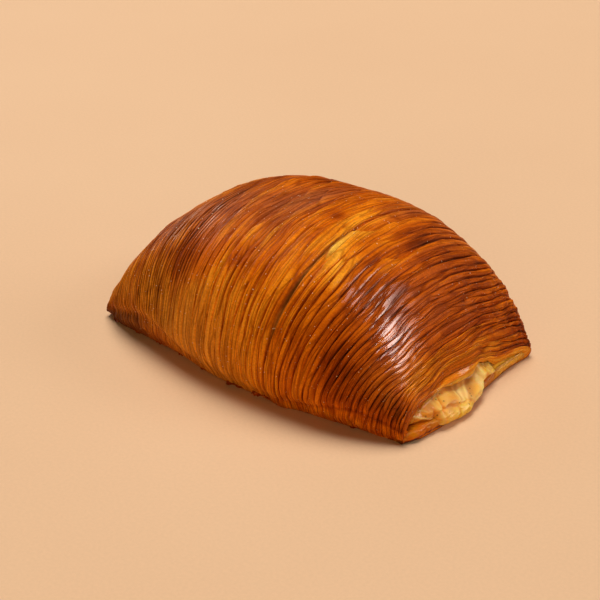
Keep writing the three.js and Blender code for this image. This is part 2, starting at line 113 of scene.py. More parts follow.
SEAM_HEIGHT = 4.3
UPPER_LIP_WALL = 2.2
LOWER_LIP_REACH = 3.3
LOWER_LIP_CENTRE = -17.0
LOWER_LIP_SPREAD = 19.0
LOWER_LIP_HOLLOW = 0.8
LOWER_LIP_EDGE = 1.6
LIP_START = 0.975
LIP_WAVE = 0.7
# Across the mouth: upper lip as a share of the mouth's height, its wall, height of the lower lip.
LIP_PROFILE = np.array([
    (-36, 1.1, 1.5, 3.4),
    (-25, 1.28, 1.5, 4.2),
    (-14, 1.28, 1.7, 3.4),
    (-7, 1.24, 3.5, 3.4),
    (4, 1.22, 3.9, 3.4),
    (8, 1.2, 1.5, 3.4),
    (13, 1.0, 1.4, 4.0),
    (21, 0.82, 1.6, 4.4),
    (29, 0.82, 2.6, 3.8),
    (36, 0.8, 1.8, 3.4),
])
LIP_RISE, LIP_WALL, LIP_LOW = 1, 2, 3
CRUST_WALL = 10.0
FLOOR = 3.4
CAVITY_START = 0.085
CAVITY_END = 0.985

# Shape of the seam at the closed end, from its bottom out to the body.
SEAM_RINGS = 6
SEAM_STEPS = (0, 0.33, 0.66, 1)
SEAM_OUT = (2.2, -0.32, -0.8, 0)
SEAM_SCALE = (0.12, 0.4, 0.76, 1)
SEAM_WIDTH = (0.93, 0.965, 0.985, 1)
# Shape of the edge of the base at the mouth.
EDGE_STEPS = (0, 0.3, 0.75, 1)
EDGE_OUT = (0, 0.4, -0.3, -1.6)
EDGE_UP = (0, 0.35, 0.85, 1)

ARCH_ROWS = 126
BASE_ROWS = 14
BASE_STEP = 5.0
LIP_RINGS = 18
INSIDE_RINGS = 6
# The parts of the crust's skin.
OUTER, SEAM, LIP, INSIDE = range(4)


def bump(v, centre, spread):
    return np.exp(-((v - centre) / spread) ** 2)


def clamp01(v):
    return np.clip(v, 0.0, 1.0)


def smooth(v):
    v = clamp01(v)
    return v * v * (3 - 2 * v)


def ease(v, start, reach):
    """0 up to start, then a smooth rise to 1 over reach. A negative reach rises the other way."""
    return smooth((v - start) / reach)


def mix(a, b, share):
    return a + (b - a) * share


def spot(s, d, place, distance, along, across):
    """1 at one place of the crust, falling to 0 around it."""
    return bump(s, place, along) * bump(d, distance, across)


def patches(rows, s, d):
    """The sum of the spots in a table, each times the amount at the end of its row."""
    total = np.zeros_like(s)
    for *row, amount in rows:
        total += amount * spot(s, d, *row)
    return total


def end_fade(s, reach):
    """1 over the body, falling to 0 at both ends."""
    return np.minimum(1, np.minimum(s / reach, (1 - s) / reach))


def signed_power(v, power):
    return np.sign(v) * np.abs(v) ** power


def scatter(index, seed):
    """A repeatable number between -1 and 1 for a whole number and a seed."""
    v = np.sin(index * 12.9898 + seed * 78.233) * 43758.5453
    return 2 * (v - np.floor(v)) - 1


def soft_scatter(place, seed):
    index = np.floor(place)
    return mix(scatter(index, seed), scatter(index + 1, seed), smooth(place - index))


def noise(x, y, seed):
    """Smooth noise between -1 and 1 on a plane."""
    def corner(i, j):
        v = np.sin(i * 127.1 + j * 311.7 + seed * 74.7) * 43758.5453
        return 2 * (v - np.floor(v)) - 1

    i, j = np.floor(x), np.floor(y)
    a, b = smooth(x - i), smooth(y - j)
    low = mix(corner(i, j), corner(i + 1, j), a)
    high = mix(corner(i, j + 1), corner(i + 1, j + 1), a)
    return mix(low, high, b)


def layered_noise(x, y, seed):
    """Three layers of noise, each twice as fine as the one before, and weaker."""
    total, weight, level = 0.0, 1.0, 0.0
    for octave in range(3):
        total = total + weight * noise(x * 2**octave, y * 2**octave, seed + octave)
        level += weight
        weight *= 0.55
    return total / level


def mouth_share(s):
    """0 over most of the body, rising to 1 at the mouth."""
    return ease(s, MOUTH_START, 1 - MOUTH_START)


def lip_value(column, y):
    after = np.clip(np.searchsorted(LIP_PROFILE[:, 0], y, side="right"), 1, len(LIP_PROFILE) - 1)
    a, b = LIP_PROFILE[after - 1], LIP_PROFILE[after]
    return mix(a[..., column], b[..., column], ease(y, a[..., 0], b[..., 0] - a[..., 0]))


def lip_blend(s, plain, column, y):
    return mix(plain, lip_value(column, y), ease(s, LIP_START, 1 - LIP_START))


def half_width(s):
    u = 2 * s - 1
    rounded = CLOSED_HALF_WIDTH * (1 - CLOSED_ROUNDING * bump(s, 0, CLOSED_ROUNDING_REACH))
    end = mix(rounded, MOUTH_HALF_WIDTH, mouth_share(s))
    return mix(end, MIDDLE_HALF_WIDTH, np.maximum(0, 1 - u * u) ** WIDTH_POWER)


def height(s):
    u = 2 * s - 1
    low = mix(CLOSED_END_HEIGHT, MOUTH_HEIGHT, s)
    return mix(low, DOME_HEIGHT, np.maximum(0, 1 - np.abs(u) ** DOME_END_POWER) ** DOME_SIDE_POWER)


def body(s, angle):
    """The smooth body: s from 0 at the closed end to 1 at the mouth, angle from pi to 0 over the top."""
    s, angle = np.broadcast_arrays(np.asarray(s, float), np.asarray(angle, float))
    u = 2 * s - 1
    end_power = mix(CLOSED_SECTION_POWER, MOUTH_SECTION_POWER, mouth_share(s))
    width_power = mix(end_power, SECTION_WIDTH_POWER, 1 - u**4)
    height_power = mix(end_power, SECTION_HEIGHT_POWER, 1 - u**4)
    rise = np.maximum(0, np.sin(angle)) ** (2 / height_power)
    cut = UNDERCUT - MOUTH_UNDERCUT * mouth_share(s)
    for place, spread, amount in FOOT_PARTS:
        cut = cut + amount * bump(s, place, spread)
    under = cut * clamp01(1 - rise / UNDERCUT_REACH) ** 2
    cosine = np.cos(angle)
    y = signed_power(cosine, 2 / width_power) * half_width(s) * (1 - under)
    bow = mix(CLOSED_END_BOW, MOUTH_BOW, s) * (y / BOW_AT) ** 2
    wave = LIP_WAVE * ease(s, 0.94, 0.06) * np.sin(y / 3.9 + 0.6) * bump(y, -2, 20)
    x = (s - 0.5) * LENGTH + bow + wave
    z = rise * height(s) * lip_blend(s, 1.0, LIP_RISE, y)
    return np.stack([x, y + SIDE_OFFSET * (1 - u * u), z], -1)


def body_normal(s, angle):
    step = 0.002
    s = np.clip(s, 0.004, 0.996)
    angle = np.clip(angle, 0.004, np.pi - 0.004)
    along = body(s + step, angle) - body(s - step, angle)
    across = body(s, angle - step) - body(s, angle + step)
    normal = np.cross(along, across)
    return normal / np.linalg.norm(normal, axis=-1, keepdims=True)


def arch_stations(rows):
    """Angles of evenly spaced rows from the near foot (negative Y) to the far foot, and their distances."""
    angles = np.pi * (1 - np.linspace(0, 1, 4001))
    steps = np.linalg.norm(np.diff(body(0.5, angles), axis=0), axis=1)
    reach = np.concatenate([[0], np.cumsum(steps)])
    distance = np.linspace(0, reach[-1], rows)
    return np.interp(distance, reach, angles), distance


def ridge_places(count):
    """Even steps along a line that climbs the ends with part of the height."""
    fine = np.linspace(0, 1, 2001)
    climb = RIDGE_CLIMB * np.diff(height(fine))
    reach = np.concatenate([[0], np.cumsum(np.hypot(LENGTH * np.diff(fine), climb))])
    return np.interp(np.linspace(0, reach[-1], count + 1), reach, fine)


angle_row, distance_row = arch_stations(ARCH_ROWS)
ARCH_LENGTH = distance_row[-1]
ANGLE = angle_row[None, :]
DISTANCE = distance_row[None, :]
FOOT = np.minimum(DISTANCE, ARCH_LENGTH - DISTANCE)


def crease_height(s):
    return 3.2 + 8.2 * bump(s, 0.2, 0.14) + 5.4 * bump(s, 0.87, 0.12)


def lean(s, foot):
    amount = sum(share * bump(s, place, spread) for place, spread, share in LEANS)
    return amount * end_fade(s, 0.08) * ease(foot, LEAN_START, LEAN_REACH)


def uneven(s):
    """Broad unevenness of the baked body, as in the solids."""
    wave = np.sin(9 * s + 0.06 * DISTANCE) + np.sin(17 * s - 0.05 * DISTANCE + 1.3)
    rise = 0.5 * UNEVEN * wave + patches(SWELLS, s, np.degrees(ANGLE))
    return rise * end_fade(s, 0.1) * smooth(FOOT / 12)


def fold_strength(s):
    """The crease above the foot is weaker along the middle of the body."""
    return 0.25 + 0.75 * np.minimum(1, np.abs(2 * s - 1) * 1.6)


def crease(s, z):
    return -CREASE_DEPTH * fold_strength(s) * end_fade(s, 0.04) * bump(z, crease_height(s), CREASE_WIDTH)


def column_shift(places, columns):
    """How far each ridge wanders from its even place, the same as in the solids."""
    pitch = np.zeros_like(places)
    pitch[1:-1] = 0.5 * (places[2:] - places[:-2])
    number = np.arange(columns + 1)[:, None].astype(float)
    wobble = RIDGE_WOBBLE * soft_scatter(DISTANCE / 9, number) * smooth(FOOT / 8)
    return pitch[:, None] * (RIDGE_JITTER * scatter(number, 3) + wobble)


def vary(length, number, seed):
    """Repeatable change along a layer, over about this length."""
    return soft_scatter(DISTANCE / length, number * 2 + seed)


def groove_depth(groove, near_mouth):
    """Depth of each groove along its way over the crust. It is shallow where two layers merge."""
    merged = smooth((soft_scatter(DISTANCE / 24, groove * 3 + 11) + 0.9 + 0.6 * near_mouth) / 0.4)
    return (1 + 0.45 * vary(11, groove, 5) + 0.3 * vary(2.7, groove, 77)) * mix(0.3, 1, merged)


def layer_relief(q, s, z):
    """Height of the layers over the smooth body, and what their colour depends on, with the painted shade of
    the grooves, the fine lines and the crease.
    """
    groove = np.floor(q)
    strip = np.floor(q + 0.5)
    near_mouth = ease(s, 0.62, 0.16)
    glazed = spot(s, DISTANCE, *GLAZE)
    folded = fold_strength(s)
    skirt = folded * ease(z, crease_height(s), -1.8)
    side = 1 - ease(FOOT, 40 + 18 * near_mouth, 20)
    strength = mix(0.3, 1, side) * (1 - mix(0.85, 0.5, ease(s, 0.3, 0.2)) * skirt)
    depth = groove_depth(groove, near_mouth)
    # Each groove is a narrow cut in a wide hollow.
    away = np.abs(q - groove - 0.5)
    breadth = (GROOVE_BREADTH + 0.04 * vary(9, groove, 31)) * (1 + 0.7 * ease(s, *CLOSED_END))
    narrow = clamp01(1 - away / breadth)
    wide = (1 - 2 * away) ** 2
    melted = np.where(groove % 3 == 1, 0.62, 0.93)
    cut = GROOVE_CUT * depth * strength * (1 - melted * glazed)
    split = SPLIT_DEPTH * (groove == SPLIT_RIDGE) * ease(FOOT, 14, 12)
    # Towards the closed end the layers are thinner: most have one more line along their middle.
    thinner = ease(s, 0.42, -0.16) * clamp01(0.75 + 0.6 * vary(13, strip, 151)) * (1 - skirt)
    fine_line = clamp01(1 - np.abs(q - strip) / LINE_BREADTH) * thinner
    grooved = mix(narrow, wide, 0.22 * (1 - glazed)) * cut + wide * split + LINE_CUT * fine_line
    crest_low = RIDGE_CREST * (1 + 0.5 * vary(14, groove, 105))
    crest_high = RIDGE_CREST * (1 + 0.5 * vary(14, groove, 107))
    level = mix(crest_low, crest_high, q - groove) * strength * (1 - 0.97 * glazed)
    # Each layer laps over the next one, so it is tilted and stands higher at one edge.
    lap = (groove + 0.5 - q) % 1.0
    tilt = LAYER_TILT + 0.24 * vary(17, strip, 61)
    level += tilt * (lap - 0.5) * strength * (1 - 0.92 * glazed)
    # Thin leaves inside each layer, and coarser ones on the skirt below the crease.
    leaves = layered_noise(q * 3.1, DISTANCE / 30, 33) * (1 - 0.6 * skirt) * (1 - 0.85 * glazed)
    level += LEAF_RELIEF * leaves
    level += SKIRT_RELIEF * skirt * layered_noise(s * LENGTH / 2.6, DISTANCE / 1.9, 39)
    # On top the layers lie in broad overlapping bands.
    band = 0.40 * q + 1.1 * layered_noise(q * 0.15, DISTANCE / 34, 21) + 0.012 * DISTANCE
    share = band - np.floor(band)
    top = ease(FOOT, 42 + 12 * near_mouth, 18)
    level += BAND_RELIEF * top * (0.5 - share) * (0.7 + 0.6 * scatter(np.floor(band), 23))
    # Rough crags of broken layers towards the far side of the mouth.
    craggy = bump(s, 0.95, 0.09) * ease(DISTANCE, 88, 20) + 0.25 * bump(s, 0.03, 0.05)
    level += CRAG_RELIEF * craggy * layered_noise(q * 0.9, DISTANCE / 3.4, 44)
    fade = np.minimum(1, np.minimum(q + 0.5, RIDGES - q + 0.5) / 1.5) * smooth(FOOT / 3)
    # Painted shade in the grooves and at the split: the deeper they are cut, the darker they are painted.
    dark = (0.8 * narrow + 0.2 * wide) * depth * strength * (1 - 0.5 * (melted - 0.3) * glazed)
    dark = clamp01(dark + 0.4 * wide * split)
    # Painted shade in the crease above the foot.
    fold = folded * bump(z, crease_height(s), 0.8)
    return (level - grooved) * fade, dark * fade, band, top, skirt, fold, fine_line * fade


def lower_lip(y):
    """X of the edge of the base at the mouth."""
    corner = 0.5 * LENGTH + MOUTH_BOW * (MOUTH_HALF_WIDTH / BOW_AT) ** 2
    hollow = LOWER_LIP_HOLLOW * bump(y, 24, 9)
    return corner - 0.4 + LOWER_LIP_REACH * bump(y, LOWER_LIP_CENTRE, LOWER_LIP_SPREAD) - hollow


def cavity_places(count):
    """Places of the rings of the room inside, from the mouth to the closed end."""
    return mix(CAVITY_START, CAVITY_END, 0.5 + 0.5 * np.cos(np.linspace(0, np.pi, count)))


def close_ring(arch, base_x, base_z):
    """Adds the points of the base, from the far foot back to the near foot."""
    share = np.arange(1, BASE_ROWS + 1) / (BASE_ROWS + 1)
    y = mix(arch[-1, 1], arch[0, 1], share)
    x = base_x(y, mix(arch[-1, 0], arch[0, 0], share))
    base = np.stack([x, y, np.broadcast_to(base_z, y.shape)], -1)
    return np.concatenate([arch, base])


def cavity_wall(s):
    return mix(UPPER_LIP_WALL, CRUST_WALL, 1 - abs(2 * s - 1) ** 6)


def cavity_ring(s, grow):
    floor = FLOOR + grow
    width = (half_width(s) - cavity_wall(s) - 2 * grow) / half_width(s)
    inwards = grow * math.copysign(abs(1 - 2 * s) ** 3, 1 - 2 * s)
    point = body(s, angle_row)
    top = height(s) * lip_blend(s, 1.0, LIP_RISE, point[:, 1])
    wall = lip_blend(s, cavity_wall(s), LIP_WALL, point[:, 1]) + grow
    z = floor + point[:, 2] * (top - wall - floor) / top
    arch = np.stack([point[:, 0] + inwards, point[:, 1] * width, z], -1)
    return close_ring(arch, lambda y, x: x, floor)


def srgb(colours):
    """Linear values of 8-bit display colours."""
    v = np.array(colours, float) / 255
    return np.where(v <= 0.04045, v / 12.92, ((v + 0.055) / 1.055) ** 2.4)


def paint(colour, tint, share):
    """The colour mixed towards a display colour."""
    return mix(colour, srgb(tint), share[..., None])


def add_object(name, data):
    item = bpy.data.objects.new(name, data)
    bpy.context.collection.objects.link(item)
    return item


# For 1, 3 or 4 numbers at each point: the type of the attribute, and what its values are called.
LAYER_KINDS = {1: ("FLOAT", "value"), 3: ("FLOAT_VECTOR", "vector"), 4: ("FLOAT_COLOR", "color")}


def make_mesh(name, points, faces, material, slot, node=None, *, tone, **layers):
    """A smooth-shaded piece on the root body, from points in millimetres, with its colour at each point."""
    mesh = bpy.data.meshes.new(name)
    mesh.from_pydata((points - CENTRE) * MM, [], faces, shade_flat=False)
    layers["tone"] = np.concatenate([tone, np.ones(tone.shape[:-1] + (1,))], -1)
    for label, values in layers.items():
        values = np.asarray(values, np.float32).ravel()
        kind, field = LAYER_KINDS[len(values) // len(points)]
        mesh.attributes.new(label, kind, "POINT").data.foreach_set(field, values)
    mesh.validate()
    mesh.materials.append(material)
    piece = add_object(name, mesh)
    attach(piece, "root")
    if node:
        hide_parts(node)


def tube_faces(rings, around):
    """Quads between rings that face outwards, with a cap on the first and the last ring."""
    r, n = np.meshgrid(np.arange(rings - 1), np.arange(around), indexing="ij")
    a = r * around + n
    b = r * around + (n + 1) % around
    quads = np.stack([a, a + around, b + around, b], -1).reshape(-1, 4)
    first = list(range(around))[::-1]
    last = list(range((rings - 1) * around, rings * around))
    return [*quads.tolist(), first, last]


def make_tube(name, rings, *looks, **layers):
    """A closed piece from rings of points, with the same material, slot and node as for make_mesh, where the
    slot is not used.
    """
    make_mesh(name, rings.reshape(-1, 3), tube_faces(*rings.shape[:2]), *looks, **layers)


# ---- crust shape

columns = RIDGES * FINE
coarse = ridge_places(2 * RIDGES)
shift_coarse = column_shift(coarse, 2 * RIDGES)
q_column = np.arange(columns + 1) / FINE
base_place = np.interp(q_column * 2, np.arange(2 * RIDGES + 1), coarse)
left = np.minimum(np.floor(q_column * 2).astype(int), 2 * RIDGES - 1)
between = (q_column * 2 - left)[:, None]
shift = mix(shift_coarse[left], shift_coarse[left + 1], between)
S = base_place[:, None] + shift + lean(base_place[:, None], FOOT)
Q = np.broadcast_to(q_column[:, None], S.shape)
skin = body(S, ANGLE)
relief, groove_share, band_of, top_of, skirt_of, crease_shade_of, line_of = layer_relief(Q, S, skin[..., 2])
raise_by = relief + uneven(S) + crease(S, skin[..., 2])
skin = skin + body_normal(S, ANGLE) * raise_by[..., None]
skin[..., 2] = np.maximum(0, skin[..., 2])
skin[:, 0, 2] = 0
skin[:, -1, 2] = 0

rings, ring_q, ring_zone = [], [], []
lip_line = body(1.0, angle_row)


def add_ring(ring, q, part):
    rings.append(ring)
    ring_q.append(q)
    ring_zone.append(part)


def base_x_of(q):
    """Gives the X of the base from its Y: near the mouth it bends to the edge of the lower lip."""
    reach = ease(q, RIDGES - 5, 5)

    def at(y, x):
        line = mix(lip_line[-1, 0], lip_line[0, 0], 0.5)
        return x + (lower_lip(y) - line) * reach
    return at


outer = [close_ring(skin[i], base_x_of(q_column[i]), 0.0) for i in range(columns + 1)]

# The pinched seam at the closed end, from its bottom out to the body.
for t in np.linspace(0, 1, SEAM_RINGS + 1)[:-1]:
    x, scale, width = (np.interp(t, SEAM_STEPS, row) for row in (SEAM_OUT, SEAM_SCALE, SEAM_WIDTH))
    ring = outer[0].copy()
    square = 1 - clamp01(np.abs(ring[:, 1]) / CLOSED_HALF_WIDTH) ** 4
    crimp = 0.5 * layered_noise(ring[:, 1] / 2.6, ring[:, 2] / 9, 61) * (1 - t)
    ring[:, 0] += x * (square if x < 0 else 1) + crimp
    ring[:, 1] *= width
    ring[:, 2] = SEAM_HEIGHT + (ring[:, 2] - SEAM_HEIGHT) * scale
    add_ring(ring, -3 + 3 * t, SEAM)
for ring, q in zip(outer, q_column):
    add_ring(ring, q, OUTER)

# The lips of the mouth, rolled inwards. At the far side the upper lip lies on the lower one.
opening = cavity_ring(1.0, 0.0)
edge = outer[-1]
is_base = np.arange(len(edge)) >= ARCH_ROWS
low_top = lip_value(LIP_LOW, edge[:, 1])
shut = mix(opening[:, 2], lip_value(LIP_LOW, opening[:, 1]), ease(opening[:, 1], 13, 5))
opening[:, 2] = np.where(is_base, opening[:, 2], shut)
for j in range(1, LIP_RINGS + 1):
    t = j / (LIP_RINGS + 1)
    turn = math.sin(math.pi * t)
    share = 0.5 - 0.5 * math.cos(math.pi * t)
    rise = smooth(edge[:, 2] / 5) * (1 - clamp01(np.abs(edge[:, 1]) / MOUTH_HALF_WIDTH) ** 4)
    rolled = bump(edge[:, 1], -6.5, 9.5)
    ripple = 0.3 * layered_noise(edge[:, 1] / 2.0, t * 3.0, 71)
    ripple = ripple + 0.26 * rolled * np.sin(20 * t + 2.4 * noise(edge[:, 1] / 5, t, 75))
    ring = np.stack([
        edge[:, 0] + (0.35 + 1.75 * rolled + ripple) * turn * rise,
        mix(edge[:, 1], opening[:, 1], share),
        mix(edge[:, 2], opening[:, 2], share) - 0.5 * rolled * turn,
    ], -1)
    lump = 0.45 * layered_noise(edge[:, 1] / 2.8, t * 2.2, 73) * turn
    ring[is_base, 0] = (edge[:, 0] + np.interp(t, EDGE_STEPS, EDGE_OUT) + lump)[is_base]
    ring[is_base, 1] = edge[is_base, 1]
    ring[is_base, 2] = (low_top * np.interp(t, EDGE_STEPS, EDGE_UP))[is_base]
    add_ring(ring, RIDGES + 2.5 * t, LIP)
deep = opening.copy()
deep[is_base, 0] = lower_lip(deep[is_base, 1]) - LOWER_LIP_EDGE
deep[is_base, 2] = lip_value(LIP_LOW, deep[is_base, 1])
deep[:, 0] = np.maximum(deep[:, 0], opening[:, 0])
add_ring(deep, RIDGES + 2.6, LIP)

# The wall of the room inside.
for number, s in enumerate(cavity_places(INSIDE_RINGS)):
    add_ring(cavity_ring(s, 0.0), RIDGES + 3 + number, INSIDE)

crust_points = np.array(rings)
base_distance = ARCH_LENGTH + np.arange(1, BASE_ROWS + 1) * BASE_STEP
d_all, q_all = np.meshgrid(np.concatenate([distance_row, base_distance]), ring_q)
zone = np.broadcast_to(np.array(ring_zone)[:, None], q_all.shape)
s_all = np.interp(q_all, q_column, base_place)
on_skin = (slice(SEAM_RINGS, SEAM_RINGS + columns + 1), slice(0, ARCH_ROWS))


def over_skin(values):
    """Values of the outer face, with 0 at all other points of the crust."""
    full = np.zeros_like(q_all)
    full[on_skin] = values
    return full


s_all[on_skin] = S
groove_all = over_skin(groove_share)
relief_all = over_skin(relief)
band_share = band_of - np.floor(band_of)
band_tone = over_skin(top_of * (0.09 * scatter(np.floor(band_of), 51) + 0.11 * (band_share - 0.5)))
# Painted shade at the steps between the bands on top.
band_step_shade = over_skin(top_of * clamp01(1 - np.minimum(band_share, 1 - band_share) / 0.08))
skirt_all = over_skin(skirt_of)
# Painted shade in the crease above the foot.
crease_shade = over_skin(crease_shade_of)
line_all = over_skin(line_of)
strip = np.floor(q_all + 0.5)
closed_end = ease(s_all, *CLOSED_END)
crest = bump(np.abs(q_all % 1.0 - 0.5), 0.27, 0.1) * clamp01(0.6 + 0.6 * noise(q_all, d_all / 12, 59))
# Across the mouth, and how far each point of the lips is turned in.
y_all = crust_points[..., 1]
turned = clamp01((q_all - RIDGES) / 2.6)
thick_lip = ease(y_all, -21, 5) * (1 - ease(y_all, 5, 4))
bottom_edge = 0.3 * (1 - smooth(crust_points[..., 2] / 1.4))

# ---- crust colour

# Browning from 0, pale gold, to 1, nearly burnt.
# Each patch here and below: place, distance from the near foot, spreads, amount.
BROWNING = (
    (0.05, 12, 0.07, 14, 0.24), (0.69, 91, 0.05, 10, -0.1), (0.13, 30, 0.1, 18, 0.14),
    (0.20, 56, 0.1, 18, 0.22), (0.36, 70, 0.09, 10, 0.1), (0.20, 6, 0.17, 6, 0.16),
    (0.38, 4, 0.08, 4, 0.16), (0.45, 24, 0.26, 16, -0.2), (0.24, 34, 0.12, 12, 0.02),
    (0.46, 49, 0.09, 6, 0.18), (0.475, 46.5, 0.02, 3, 0.2), (0.60, 81, 0.018, 3, 0.3),
    (0.84, 50, 0.11, 18, 0.22), (0.90, 28, 0.13, 16, 0.12), (0.70, 44, 0.06, 16, 0.08),
    (0.78, 62, 0.07, 13, 0.1), (0.69, 66, 0.045, 11, -0.46), (0.66, 84, 0.05, 10, -0.12),
    (0.78, 24, 0.14, 12, 0.1), (0.69, 22, 0.06, 10, 0.06), (0.31, 39, 0.06, 10, 0.3),
    (0.74, 57, 0.04, 11, -0.2), (0.79, 76, 0.05, 12, -0.1), (0.87, 84, 0.06, 14, -0.12),
    (0.36, 14, 0.12, 12, -0.24), (0.31, 44, 0.05, 10, 0.06), (0.83, 27, 0.05, 10, 0.1),
    (0.5, 4, 0.1, 6, -0.1), (0.74, 58, 0.03, 8, -0.08), (0.9, 19, 0.07, 9, 0.1),
    (0.97, 32, 0.04, 12, 0.16), (0.985, 62, 0.03, 16, -0.14), (0.16, 20, 0.05, 12, 0.1),
    (0.43, 79, 0.04, 12, 0.12), (0.95, 50, 0.035, 16, -0.14), (0.4, 24, 0.08, 12, -0.06),
    (0.655, 74, 0.04, 11, -0.12), (0.62, 92, 0.05, 12, -0.06), (0.50, 92, 0.05, 22, 0.14),
    (0.38, 108, 0.07, 12, 0.22), (0.29, 98, 0.025, 14, 0.16), (0.84, 92, 0.11, 26, 0.2),
    (0.985, 130, 0.04, 14, 0.2), (0.99, 88, 0.022, 20, -0.24), (0.90, 6, 0.12, 5, 0.04),
    (0.975, 38, 0.025, 9, 0.18), (0.38, 40, 0.03, 7, 0.1), (0.54, 10, 0.06, 8, -0.14),
    (0.72, 74, 0.03, 6, 0.06), (0.79, 61, 0.03, 7, -0.08), (0.86, 32, 0.04, 9, 0.07),
    (0.55, 12, 0.05, 8, -0.08), (0.88, 20, 0.04, 8, -0.06), (0.74, 82, 0.03, 9, -0.09),
    (0.74, 60, 0.03, 8, -0.07), (0.985, 66, 0.02, 9, -0.09), (0.96, 27, 0.03, 7, 0.08),
    (0.24, 6, 0.05, 7, 0.08),
)
# Where a painted sheen lies over the layers: a dull reflection of the light, painted paler.
SHEEN_PATCHES = (
    (0.48, 88, 0.04, 24, 0.7), (0.29, 74, 0.045, 12, 0.6), (0.515, 76, 0.02, 20, 0.5),
    (0.22, 96, 0.06, 14, 0.5), (0.22, 56, 0.07, 16, 0.7), (0.1, 18, 0.09, 18, 0.75),
    (0.3, 18, 0.11, 14, 0.7), (0.44, 12, 0.12, 14, 0.6), (0.5, 3, 0.14, 6, 0.5),
    (0.36, 73, 0.06, 12, 0.5), (0.43, 80, 0.05, 14, 0.6), (0.34, 58, 0.06, 12, 0.3),
    (0.69, 110, 0.02, 18, 0.6), (0.65, 112, 0.015, 14, 0.6), (0.80, 112, 0.05, 12, 0.3),
    (0.93, 36, 0.05, 9, 0.3), (0.33, 104, 0.012, 16, 0.7),
)
# Where the crests of the layers catch the light in short lines.
GLINTS = (
    (0.2, 44, 0.07, 12, 2.2), (0.34, 58, 0.08, 12, 2.2), (0.42, 76, 0.08, 14, 1.8),
    (0.3, 84, 0.08, 14, 1.6), (0.6, 96, 0.1, 12, 1.4), (0.62, 60, 0.05, 10, 1.2),
)
# Where the egg wash is thick.
SHINE = (
    (0.9, 52, 0.07, 14, 1.0), (0.93, 40, 0.04, 8, 0.5), (0.8, 60, 0.05, 11, 0.6),
    (0.5, 60, 0.25, 14, 0.12), (0.24, 50, 0.07, 12, 0.4),
)
PALE_SPOT = (0.68, 68, 0.07, 18)
# Colours of the painted sheen, near the foot and further up.
NEAR_SHEEN = (214, 150, 62)
FAR_SHEEN = (150, 92, 62)
# Painted highlight on the crests of the layers.
CREST_HIGHLIGHT = (224, 152, 70)
SPLIT_TINT = (150, 108, 48)
WET_GOLD = (236, 166, 34)
RAMP_AT = (0.0, 0.22, 0.42, 0.58, 0.74, 0.88, 1.0)
RAMP = srgb((
    (254, 194, 74), (245, 156, 32), (226, 120, 12), (196, 90, 6),
    (160, 65, 4), (118, 45, 3), (74, 27, 3),
))


def ramp_colour(v):
    return np.stack([np.interp(v, RAMP_AT, RAMP[:, i]) for i in range(3)], -1)


def skin_browning_and_shade():
    """Browning of the outer skin, from the broad patches to the single layers, with painted shade in the
    grooves, lines, band steps, crease and skirt, and paler raised layers as painted highlight.
    """
    brown = 0.44 + 0.12 * ease(d_all, 44, 24) + patches(BROWNING, s_all, d_all)
    brown += 0.07 * soft_scatter(d_all / 24, strip * 5 + 1) + 0.06 * soft_scatter(d_all / 6, strip * 5 + 2)
    brown += 0.08 * layered_noise(q_all * 0.5, d_all / 26, 81)
    brown += 0.1 * layered_noise(q_all * 2.6, d_all / 9, 87)
    brown += ease(d_all, 128, 20) * (0.2 * layered_noise(q_all * 0.1, d_all / 22, 91) + 0.06)
    # Painted shade: the grooves and the fine lines between the layers are browned darker.
    groove_shade_amount = 0.36 - 0.1 * ease(s_all, 0.8, 0.12) + 0.2 * closed_end
    brown += groove_shade_amount * groove_all + 0.42 * line_all - 0.16 * closed_end
    # Painted shade at the steps between the bands on top.
    brown += band_tone + 0.16 * band_step_shade * clamp01(0.6 + 0.9 * noise(q_all * 0.4, d_all / 14, 85))
    # The skirt below the crease is mottled, and darker towards the closed end as painted shade under the
    # overhang. The crease gets painted shade, and the raised layers a painted highlight, paler.
    skirt_tone_and_shade = 0.04 + 0.1 * ease(s_all, 0.4, -0.2) + 0.18 * layered_noise(s_all * 44, d_all / 2.4, 89)
    brown += skirt_all * skirt_tone_and_shade + 0.2 * crease_shade - 0.06 * clamp01(relief_all / RIDGE_CREST)
    brown = np.maximum(brown, 0.29 - 0.3 * spot(s_all, d_all, *PALE_SPOT))
    base_brown = 0.62 + 0.2 * layered_noise(q_all * 0.3, d_all / 9, 93)
    return np.where(is_base, base_brown, brown) + 0.3 * (zone == SEAM)


def lip_browning():
    """Browning of the lips: the upper one is pale where it is thick, and golden at the far side."""
    gold = smooth((turned - 0.15 - 0.2 * noise(y_all / 3.5, 0.0, 69)) / 0.2) * ease(y_all, 3, 4)
    thin = 0.6 - 0.1 * turned - 0.32 * gold
    thick = 0.5 - 0.38 * ease(turned, 0.08, 0.4)
    upper = mix(thin, thick, thick_lip) + 0.1 * layered_noise(y_all / 3, q_all * 0.8, 97)
    upper += 0.12 * np.sin(20 * turned + 2.4 * noise(y_all / 5, turned, 75))
    lower = 0.28 + 0.14 * layered_noise(y_all / 3, q_all * 2, 99) + bottom_edge
    return np.where(is_base, lower, upper)


